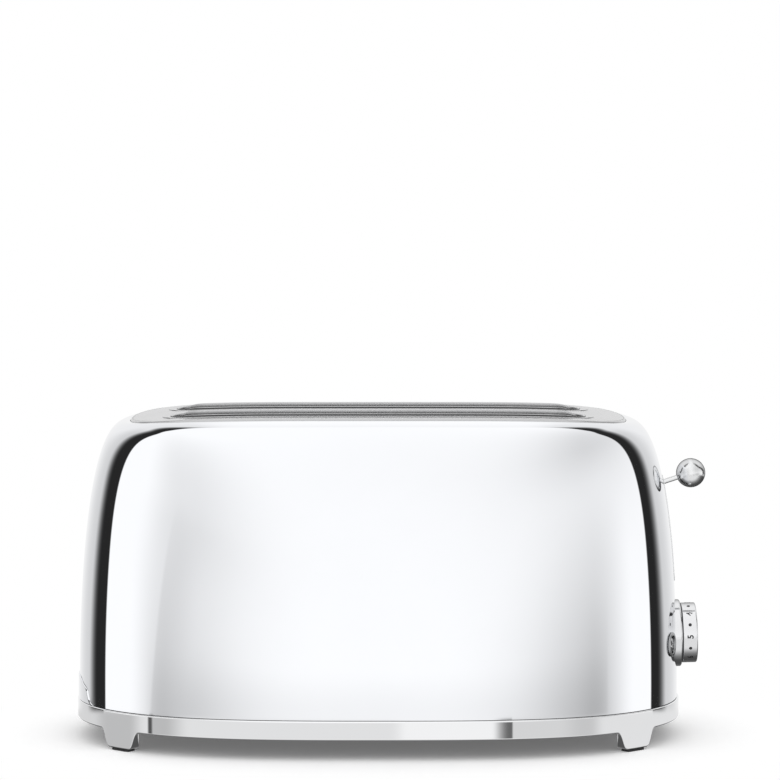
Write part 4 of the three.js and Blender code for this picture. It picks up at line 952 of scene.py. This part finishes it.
def makeDial():
    radius, back, face, bevel = dial["radius"], dial["back"], dial["face"], dial["bevel"]
    floor, rim = face - dial["dish"], radius - dial["rimWidth"]
    line = roundedLine([
        (back, dial["bore"], 0), (back, radius, bevel), (face, radius, bevel), (face, rim, 0.5),
        (floor, rim - dial["dishWall"], 1.2), (floor, 0, 0)], steps=7)
    boreTop = floor - dial["boreTop"]
    line = np.vstack([[[boreTop, 0], [boreTop, dial["bore"]]], line])
    grip = roundedGrip(floor - 1, face - dial["gripLow"], dial["gripWidth"] / 2, rim - dial["gripGap"])
    makePiece("dial_cap", revolve(line, dialFrame, 160), "controlChrome", ["dial_knob"], "dial",
              joins=[placed(grip, dialFrame)])
    low, bore, floor = -dial["bezelBack"], dial["bezelBore"], dial["bezelFloor"]
    high, outer, step = dial["bezelProud"], dial["bezelRadius"], bevel * 1.3
    line = roundedLine([
        (low, bore, 0), (low, outer, 0), (high, outer, 1.1), (high, radius - step, 0.4),
        (floor, radius - 2 * step, 0), (floor, bore, 0)], closed=True, steps=8)
    makePiece("dial_ring", revolve(line, dialFrame, 160), "controlChrome", ["dial_bezel"])


# A bar with round ends and a rounded top edge, standing along X
def roundedGrip(low, high, half, reach):
    angle = np.linspace(-math.pi / 2, math.pi / 2, 13)
    end = np.stack([np.sin(angle), np.cos(angle)], -1)
    normals = np.vstack([end, end * [-1, -1]])
    centres = np.vstack([np.tile([0, reach - half], (13, 1)), np.tile([0, half - reach], (13, 1))])
    rings = []
    for inset, x in roundedLine([(0, low, 0), (0, high, 0.8), (half * 0.7, high, 0)], steps=5):
        rings.append(np.c_[np.full(len(normals), x), centres + normals * (half - inset)])
    return flatEnds(rings)


# A figure from Blender's own font as points and faces, centred, with height 1
def figureSurface(text, thickness):
    curve = bpy.data.curves.new("figure", "FONT")
    curve.body = text
    curve.align_x, curve.align_y = "CENTER", "CENTER"
    curve.resolution_u = 6
    curve.extrude = thickness / 2
    curve.offset = dial["digitSpread"]
    obj = addObject("figure", curve)
    mesh = finishedMesh(obj)
    bpy.data.objects.remove(obj)
    points = np.zeros(len(mesh.vertices) * 3)
    mesh.vertices.foreach_get("co", points)
    points = points.reshape(-1, 3)
    low, high = points.min(0), points.max(0)
    points[:, :2] = (points[:, :2] - (low[:2] + high[:2]) / 2) / (high[1] - low[1])
    return points, [tuple(polygon.vertices) for polygon in mesh.polygons]


# Wraps a flat drawing on the dial's side: its y runs towards the toaster, its x runs up the front, and its
# z stands out. Angles are in degrees up from the front.
def onDialSide(surface, angle, height):
    points, faces = surface
    out = dial["radius"] + points[:, 2]
    turn = math.radians(angle) + points[:, 0] * height / dial["radius"]
    middle = (dial["back"] + dial["face"]) / 2
    local = np.stack([middle - points[:, 1] * height, -out * np.cos(turn), out * np.sin(turn)], -1)
    return placed((local, faces), dialFrame)


# The numbers and dots, and a dark ring of painted shade that fills the gap between the knob and its bezel,
# where its shadow falls
def makeDialMarks():
    ink = dial["ink"]
    dot = extrudeZ(circle(28) * dial["dotRadius"] / dial["digitHeight"], -ink, ink)
    marks = []
    for number, digit in enumerate(dial["digits"]):
        angle = dial["firstAngle"] - number * dial["pitch"]
        marks.append(onDialSide(figureSurface(digit, 2 * ink), angle, dial["digitHeight"]))
        if number < len(dial["digits"]) - 1:
            marks.append(onDialSide(dot, angle - dial["pitch"] / 2, dial["digitHeight"]))
    # Painted shade: a dark ring in the gap between the knob and its bezel
    low, high, inner, outer = (dial[name] for name in ("shadeRingLow", "shadeRingHigh", "shadeRingInner", "shadeRingOuter"))
    marks.append(revolve([(low, inner), (low, outer), (high, outer), (high, inner)], dialFrame, 120))
    makePiece("dial_numbers_and_shade_ring", joinSurfaces(*marks), "ink", body="dial")


makeDial()
makeDialMarks()

# Push buttons: a low domed cap in a rounded ring. The bars of the sign on each cap are thin printed strips.
button = {
    "radius": 4.8, "bore": 5.4, "ring": 7.6, "sleeve": 6.4, "proud": 1.1, "ringLow": 0.15,
    "stemLength": 2, "stemRadius": 2, "domePower": 2.4, "domeShare": 0.97, "domeDrop": 0.1,
    "shoulder": 0.5, "signReach": 0.5, "signHalf": 0.22, "ink": 0.03,
}
buttonSigns = {"front": (30, 90, 150), "rear": (45, 135)}


# How far a cap stands out of the wall at a share of its dome's radius
def domeHeight(share):
    return button["proud"] - (button["proud"] + button["domeDrop"]) * share ** button["domePower"]


def makeButtons():
    sleeve, proud, bore, ring = button["sleeve"], button["proud"], button["bore"], button["ring"]
    low, cap, stem, shoulder = button["ringLow"], button["radius"], button["stemRadius"], button["shoulder"]
    end = -sleeve - button["stemLength"]
    bezelLine = roundedLine([
        (-sleeve, bore, 0), (-sleeve, sleeve, 0), (low, sleeve, 0), (low, ring, 0.1), (proud, ring, 0.7),
        (proud, bore, 0.45)], closed=True)
    arc = np.linspace(0, 1, 12)
    dome = np.c_[domeHeight(arc), cap * arc * button["domeShare"]][::-1]
    capLine = [[end, 0], [end, stem], [-sleeve, stem], [-sleeve, cap], [-shoulder, cap]]
    capLine = np.vstack([capLine, [[-shoulder / 2, cap * 0.99]], dome])
    capLine[-1, 1] = 0
    for place, where in buttonFrames.items():
        body = f"{place}_button"
        # The ring's dark chrome is painted shade for the shadow round the cap
        makePiece(f"button_ring_{place}", revolve(bezelLine, where, 96), "ringShadeChrome",
                  [f"button_bezel_{place}"])
        makePiece(f"button_cap_{place}", revolve(capLine, where, 80), "controlChrome",
                  [f"button_{place}"], body)
        signs = [placed(signBar(math.radians(angle)), where) for angle in buttonSigns[place]]
        makePiece(f"button_sign_{place}", joinSurfaces(*signs), "ink", body=body)


# One printed bar through the middle of a cap, laid over its dome
def signBar(angle):
    reach, half, ink = button["radius"] * button["signReach"], button["signHalf"], button["ink"]
    along = np.linspace(-reach, reach, 17)
    along, side = np.r_[along, along[::-1]], np.repeat((-half, half), 17)
    y = along * math.cos(angle) - side * math.sin(angle)
    z = along * math.sin(angle) + side * math.cos(angle)
    height = domeHeight(np.hypot(y, z) / (button["radius"] * button["domeShare"]))
    return flatEnds([np.stack([height + lift, y, z], -1) for lift in (-ink, ink)])


makeButtons()
print("controls made")


# The pull's section stands in columns side by side along the arch. Each runs up the front face, over the
# rounded edge and down the back. The left wall, where the pull sits, mirrors the right one.
def makeTrayPull():
    arch = archLine(steps=20)
    tangent = np.gradient(arch, axis=0)
    tangent /= np.linalg.norm(tangent, axis=1, keepdims=True)
    normal = np.stack([tangent[:, 1], -tangent[:, 0]], -1)
    edge, proud, wall, foot = pull["edgeRound"], pull["proud"], pull["wall"], shell["foot"]
    inner = arch - normal * edge
    inner[:, 1] = np.maximum(inner[:, 1], foot + pull["least"])
    rings = []

    def add(points, height):
        points = np.c_[points[:, 0], np.maximum(points[:, 1], foot)]
        rings.append(np.c_[-(wallX(points[:, 0], points[:, 1]) + height), points])

    for share in np.linspace(0, 1, 25):
        add(np.c_[inner[:, 0], mix(foot, inner[:, 1], share)], proud)
    for angle in np.linspace(0, math.pi / 2, 7)[1:]:
        add(inner + (arch - inner) * math.sin(angle), proud - edge * (1 - math.cos(angle)))
    add(arch, -wall)
    for share in np.linspace(1, 0, 9):
        add(np.c_[inner[:, 0], mix(foot, inner[:, 1], share)], -wall)
    columns = np.transpose(np.array(rings), (1, 0, 2))[1:-1]
    makePiece("tray_pull_skin", flatEnds(columns), "mirrorSteel", ["crumb_tray_pull"], "tray")


makeTrayPull()
print("tray pull made")

# Bread guards: two rails and the upright wires that join them
guard = {"wire": 1.0, "upright": 0.95, "low": 62, "high": 168, "half": 137, "reach": 117, "uprights": 7}


def makeGuards():
    for place in ("front_outer", "front_inner", "rear_inner", "rear_outer"):
        y = boxAndMiddle(f"bread_guard_{place}")[2][1]
        wires = [tube([[-guard["half"], y, z], [0, y, z], [guard["half"], y, z]], guard["wire"], 14)
                 for z in (guard["low"], guard["high"])]
        z = np.linspace(guard["low"], guard["high"], 9)
        for x in np.linspace(-guard["reach"], guard["reach"], guard["uprights"]):
            wires.append(tube(np.c_[z * 0 + x, z * 0 + y, z], guard["upright"], 12))
        makePiece(f"guard_wires_{place}", joinSurfaces(*wires), "wire", [f"bread_guard_{place}"],
                  f"guard_{place}")


makeGuards()

# Heaters: a mica card with lugs at its two ends, and bands of flat ribbon round it
heater = {
    "turns": 6, "ribbonWidth": 3, "ribbonOut": 0.8, "margin": 10, "ripple": 0.08, "rippleTurn": 0.9,
    "cardHalf": 0.5, "lugReach": 4, "lugHalf": 5, "lugThin": 0.45, "lugHeights": (0.25, 0.75),
}


def makeHeaters():
    for place in ("front", "centre", "rear"):
        low, high, middle = boxAndMiddle(f"heater_{place}")
        y, reach, half = middle[1], high[0], high[0] - heater["lugReach"]
        thick, thin, tall = heater["cardHalf"], heater["lugThin"], heater["lugHalf"]
        card = [boxSurface((-half, y - thick, low[2]), (half, y + thick, high[2]))]
        for z in mix(low[2], high[2], np.array(heater["lugHeights"])):
            card.append(boxSurface((-reach, y - thin, z - tall), (reach, y + thin, z + tall)))
        makePiece(f"mica_card_{place}", joinSurfaces(*card), "mica", [f"heater_{place}"])
        heights = mix(low[2], high[2], (np.arange(heater["turns"]) + 0.5) / heater["turns"])
        turns = [ribbonTurn(z, y, half - heater["margin"]) for z in heights]
        makePiece(f"heating_ribbon_{place}", joinSurfaces(*turns), "ribbon", [f"heater_{place}"])


# One band of ribbon round the card, slightly rippled along its length
def ribbonTurn(z, y, half):
    wide = heater["ribbonWidth"] / 2
    x = np.linspace(-half, half, 25)
    out = heater["ribbonOut"] + heater["ripple"] * np.sin(x * heater["rippleTurn"])
    rings = [np.c_[x, y + side * out, x * 0 + z + height]
             for side, height in ((-1, -wide), (-1, wide), (1, wide), (1, -wide))]
    return flatEnds(np.transpose(rings, (1, 0, 2)))


makeHeaters()
print("guards and heaters made")

# Return springs: one unbroken helix each
spring = {"turns": 6, "wire": 0.55, "sides": 10, "stepsPerTurn": 36}


def makeSprings():
    for place in ("front", "rear"):
        low, high, middle = boxAndMiddle(f"return_spring_{place}")
        wire, length = spring["wire"], high[2] - low[2]
        radius = (high[0] - low[0]) / 2 - wire
        share = np.linspace(0, 1, spring["turns"] * spring["stepsPerTurn"] + 1)
        angle = share * spring["turns"] * 2 * math.pi
        path = np.stack([middle[0] + radius * np.cos(angle), middle[1] + radius * np.sin(angle),
                         mix(low[2] + wire, high[2] - wire, share)], -1)
        coil = makePiece(f"spring_coil_{place}", tube(path, wire, spring["sides"]), "spring",
                         [f"return_spring_{place}"], crease=70)
        keep = (length - lever["travel"]) / length
        anchor = tuple(float(c) * mm for c in (middle + bodyMiddle)[:2]) + (float(low[2]) * mm,)
        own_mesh(coil)


makeSprings()

# Screws with a round head and a cross recess, each in a boss, and the grommet of the mains inlet
screw = {
    "head": 3.4, "shank": 1.6, "headHeight": 2, "cross": 1.7, "crossWidth": 0.7, "crossDepth": 1.0,
    "boss": 4.45, "bossBore": 1.95, "bossLow": 15.35, "bossHigh": 22.7, "bossCap": 1.1,
}
inlet = {"bore": 3.2, "neck": 5, "taper": 0.6, "panLow": 13.5, "panHigh": 15, "clear": 0.3, "flangeOut": 1.8}


# A frame whose X axis stands up the Z axis over a point
def uprightFrame(middle):
    return Matrix.Translation((middle[0], middle[1], 0)) @ Matrix.Rotation(-math.pi / 2, 4, "Y")


def makeScrews():
    base, end, bore, radius = screw["bossLow"], screw["bossHigh"], screw["bossBore"], screw["boss"]
    inner = end - screw["bossCap"]
    bossLine = roundedLine([(base, bore, 0.2), (base, radius, 0.4), (end, radius, 0.4), (end, 0, 0),
                            (inner, 0, 0), (inner, bore, 0)])
    head, shank, reach, half = screw["head"], screw["shank"], screw["cross"], screw["crossWidth"] / 2
    bosses = []
    for number in range(1, 5):
        low, high, middle = boxAndMiddle(f"base_screw_{number}")
        place, start, tip = uprightFrame(middle), low[2], high[2]
        bosses.append(revolve(bossLine, place, 48))
        headTop = start + screw["headHeight"]
        line = roundedLine([(start, 0, 0), (start, head, 1.1), (headTop, head, 0.2), (headTop, shank, 0),
                            (tip, shank, 0.4), (tip, 0, 0)])
        foot, deep = np.r_[middle[:2], start - 1], np.r_[middle[:2], start + screw["crossDepth"]]
        recess = [boxSurface(foot - [x, y, 0], deep + [x, y, 0]) for x, y in ((reach, half), (half, reach))]
        makePiece(f"pan_screw_{number}", revolve(line, place, 36), "zinc", [f"base_screw_{number}"],
                  cuts=recess)
    makePiece("screw_bosses", joinSurfaces(*bosses), "zinc", ["base_ring"])


# The grommet of the mains inlet: a sleeve with a flange on each side of the pan's sheet
def makeInlet():
    low, high, middle = boxAndMiddle("cord_inlet")
    bore, neck, flange = inlet["bore"], inlet["neck"], (high[0] - low[0]) / 2
    thick = neck + inlet["taper"]
    under, over = inlet["panLow"] - inlet["clear"], inlet["panHigh"] + inlet["clear"]
    below, above = inlet["panLow"] - inlet["flangeOut"], inlet["panHigh"] + inlet["flangeOut"]
    line = roundedLine([
        (low[2], bore, 0.3), (low[2], neck, 0.6), (below, thick, 0.3), (below, flange, 0.5),
        (under, flange, 0.3), (under, neck, 0), (over, neck, 0), (over, flange, 0.3),
        (above, flange, 0.5), (above, thick, 0.3), (high[2], neck, 0.6), (high[2], bore, 0.3),
    ], closed=True)
    makePiece("inlet_grommet", revolve(line, uprightFrame(middle), 56), "rubber", ["cord_inlet"])


makeScrews()
makeInlet()
print("springs, screws and inlet made")

# The construction pieces that show as they are, under their finish
shownNodes = {
    "plastic": ["base_pan", "dial_potentiometer", "button_switch_front", "button_switch_rear"],
    "zinc": ["chassis_plate_left", "chassis_plate_right", "heat_shield_front", "heat_shield_rear",
             "tray_runner_front", "tray_runner_rear", "magnet_core", "board_bracket", "carriage_bracket",
             "armature_plate", "crumb_tray_pan"],
    "wire": ["guide_rod_front", "guide_rod_rear", "bread_rack_front", "bread_rack_rear"],
    "copper": ["magnet_coil"],
    "board": ["control_board"],
    "satinSteel": ["dial_shaft"],
    "rubber": ["foot_pad_front_left", "foot_pad_front_right", "foot_pad_rear_left", "foot_pad_rear_right"],
}
nodeFinishes = {node: finishes[finish][0] for finish, nodes in shownNodes.items() for node in nodes}
for node, obj in frame["nodes"].items():
    if node in nodeFinishes:
        obj.data.materials.clear()
        obj.data.materials.append(nodeFinishes[node])
    elif not obj.hide_render:
        print("no finish for", node)

# Studio: a pale floor that fades into white, seen by one long lens. Lengths here are in metres, apart from
# the lens, which is in millimetres.
studio = {
    "floorRadius": 0.75, "floorSides": 128,
    "shadeLength": 0.215, "shadeDepth": 0.13, "fadeFrom": 0.95, "fadeTo": 1.35,
    "floorTone": 0.94, "floorGlow": 0.12,
    "toneCurve": 2.2, "shineLevel": 1.08, "dullLevel": 1.06,
    "lens": 150.65, "cameraBack": 2.040, "cameraHeight": 0.3583, "cameraSide": 0.0073, "cameraPitch": 4.0,
}


def makeFloor():
    sides = studio["floorSides"]
    ring = np.c_[circle(sides), np.zeros(sides)] * studio["floorRadius"] / mm
    points = np.vstack([ring, [[0, 0, 0]]]) - bodyMiddle
    faces = [(i, (i + 1) % sides, sides) for i in range(sides)]
    obj = addObject("floor", makeMesh("floor", (points, faces)))
    material = bpy.data.materials.new("floor")
    sheet = Sheet(material)
    place = sheet.objectPlace((1 / studio["shadeLength"], 1 / studio["shadeDepth"], 1))
    away = sheet.value("ShaderNodeVectorMath", {"operation": "LENGTH"}, {0: place}, 1)
    fade = away.climb(studio["fadeFrom"], studio["fadeTo"])
    camera = Value(sheet, sheet.node("ShaderNodeLightPath").outputs["Is Camera Ray"])
    tone = studio["floorTone"]
    paint = sheet.node("ShaderNodeBsdfDiffuse", {}, {"Color": (tone, tone, tone, 1)})
    glow = sheet.node("ShaderNodeEmission", {}, {"Strength": studio["floorGlow"] * camera})
    lit = sheet.node("ShaderNodeAddShader", {}, {0: paint.outputs[0], 1: glow.outputs[0]})
    white = sheet.node("ShaderNodeEmission", {}, {"Strength": 1.0})
    mixed = sheet.node("ShaderNodeMixShader", {}, {0: fade, 1: lit.outputs[0], 2: white.outputs[0]})
    sheet.node("ShaderNodeOutputMaterial", {}, {"Surface": mixed.outputs[0]})
    obj.data.materials.append(material)
    obj.visible_glossy = False


# The studio round the object: white light all over for what is dull, and for what shines a pale room with a
# dark bar that arches over the toaster from side to side. All angles are in degrees: gamma away from the
# front, zeta the roll round that axis, 0 overhead, height above the horizon, and around to the right of the
# front. Tones are display tones from 0 to 255.
class Surroundings:
    def __init__(self, sheet):
        direction = sheet.node("ShaderNodeTexCoord").outputs["Generated"]
        split = sheet.node("ShaderNodeSeparateXYZ", {}, {0: direction})
        x, y, z = (Value(sheet, split.outputs[number]) for number in range(3))
        degrees = 180 / math.pi
        self.gamma = (y * -1).within(-1, 1).run("ARCCOSINE") * degrees
        self.zeta = x.run("ABSOLUTE").run("ARCTAN2", z) * degrees
        self.height = z.within(-1, 1).run("ARCSINE") * degrees
        self.around = x.run("ARCTAN2", y * -1) * degrees

    # A soft grey panel: how much it darkens, between which directions around it starts and clears again, and
    # the heights between which it comes and goes
    def panel(self, depth, comes, clears, rises=(-90, -89), fades=(89, 90)):
        across = self.around.climb(*comes) * (1 - self.around.climb(*clears))
        return depth * across * self.height.climb(*rises) * (1 - self.height.climb(*fades))

    # The front of the room: white, with two tall grey panels, low ones before them and a thin slanted edge
    def front(self):
        tone = 255 - self.panel(23, (-70, -39), (-33, 0), (-6, 5), (5, 54))
        tone = tone - self.panel(41, (-10, 51), (35, 182), (-7, 26), (23, 88))
        tone = tone - self.panel(57, (-78, -50), (-44, -3), fades=(-19, 10))
        tone = tone - self.panel(82, (3, 55), (50, 85), fades=(-19, 11))
        tone = tone - self.panel(10, (-66, -56), (56, 66), fades=(-9.6, -6))
        tone = tone - self.panel(7, (40, 56), (60, 62.5), fades=(-9, -2))
        slanted = self.around - 1.1 * self.height
        edge = slanted.climb(-51, -48.5) * (1 - slanted.climb(-46, -28))
        return tone - 13 * edge * (1 - self.height.climb(-6, 9))

    # Whether a direction lies past the dark bar's first edge, from 0 to 1, how dark the bar is there, and how
    # many degrees behind the bar's second edge it lies
    def bar(self):
        start = 74 + 52 * (1 - self.zeta.climb(-38, 38)) + 30 * self.zeta.climb(47.6, 91)
        end = 87 + 36 * self.zeta.climb(48, 86)
        end = end + (1.6 - 3.2 * self.around.climb(-5, 5)) * self.zeta.climb(55, 75)
        soft = 7 + 1.5 * self.zeta.climb(50, 78)
        rising = (self.gamma - start).climb(-1, 1)
        past = self.gamma - end
        falling = (past / soft).climb(-1, 1)
        strength = 0.39 + 0.61 * self.zeta.climb(0, 20)
        return rising, rising * (1 - falling) * strength, past

    # What the upright band and the feet mirror, just under the horizon: panels with sharp edges
    def belowHorizon(self):
        around = self.around
        tone = 227 - 38 * (1 - around.climb(-77, -62)) + 24 * (1 - around.climb(-122, -98))
        tone = tone - 140 * around.climb(-62, -60.3) * (1 - around.climb(-59.3, -57.8))
        tone = tone - 40 * around.climb(-59, -58) * (1 - around.climb(-51, -37))
        tone = tone + 18 * around.climb(0, 1) * (1 - around.climb(12.5, 15))
        tone = tone - 122 * around.climb(13, 17.4) * (1 - around.climb(17.8, 18.4))
        tone = tone - 14 * around.climb(17.8, 18.4) * (1 - around.climb(50, 60))
        return tone - 14 * around.climb(33, 46) * (1 - around.climb(48, 58))

    # The table under the toaster: pale in front, dark below and a little paler again behind
    def ground(self):
        gamma = self.gamma
        return 232 - 120 * gamma.climb(50, 92) - 30 * gamma.climb(88, 104) + 60 * gamma.climb(120, 150)

    def tone(self):
        front = self.front()
        rising, bar, past = self.bar()
        near = 231 - 23 * self.zeta.climb(45, 65)
        back = near + (237 - near) * past.climb(4, 43) + 17 * (1 - self.zeta.climb(4, 12))
        room = front + (back - front) * rising
        room = room + (43 - room) * bar
        horizon = self.height.climb(-9.64, -9.46)
        room = self.belowHorizon() * (1 - horizon) + room * horizon
        depth = self.height.climb(-17, -12)
        return (self.ground() * (1 - depth) + room * depth) / 255


def makeStudio():
    world = bpy.data.worlds.new("studio")
    bpy.context.scene.world = world
    sheet = Sheet(world)
    tone = Surroundings(sheet).tone()
    shine = (tone ** studio["toneCurve"]) * studio["shineLevel"]
    path = sheet.node("ShaderNodeLightPath")
    camera, glossy = (Value(sheet, path.outputs[name]) for name in ("Is Camera Ray", "Is Glossy Ray"))
    dull = studio["dullLevel"] + camera * (1 - studio["dullLevel"])
    strength = dull + (shine - dull) * glossy * (1 - camera)
    background = sheet.node("ShaderNodeBackground", {}, {"Color": (1, 1, 1, 1), "Strength": strength})
    sheet.node("ShaderNodeOutputWorld", {}, {"Surface": background.outputs[0]})


def makeCamera():
    camera = bpy.data.cameras.new("camera")
    camera.lens = studio["lens"]
    camera.sensor_width = 36
    camera.clip_end = 20
    obj = addObject("camera", camera)
    obj.location = (bodyMiddle[0] * mm + studio["cameraSide"], -studio["cameraBack"], studio["cameraHeight"])
    obj.rotation_euler = (math.radians(90 - studio["cameraPitch"]), 0, 0)
    bpy.context.scene.camera = obj


makeFloor()
makeStudio()
makeCamera()
bpy.context.scene.view_settings.view_transform = "Standard"
print("studio made")
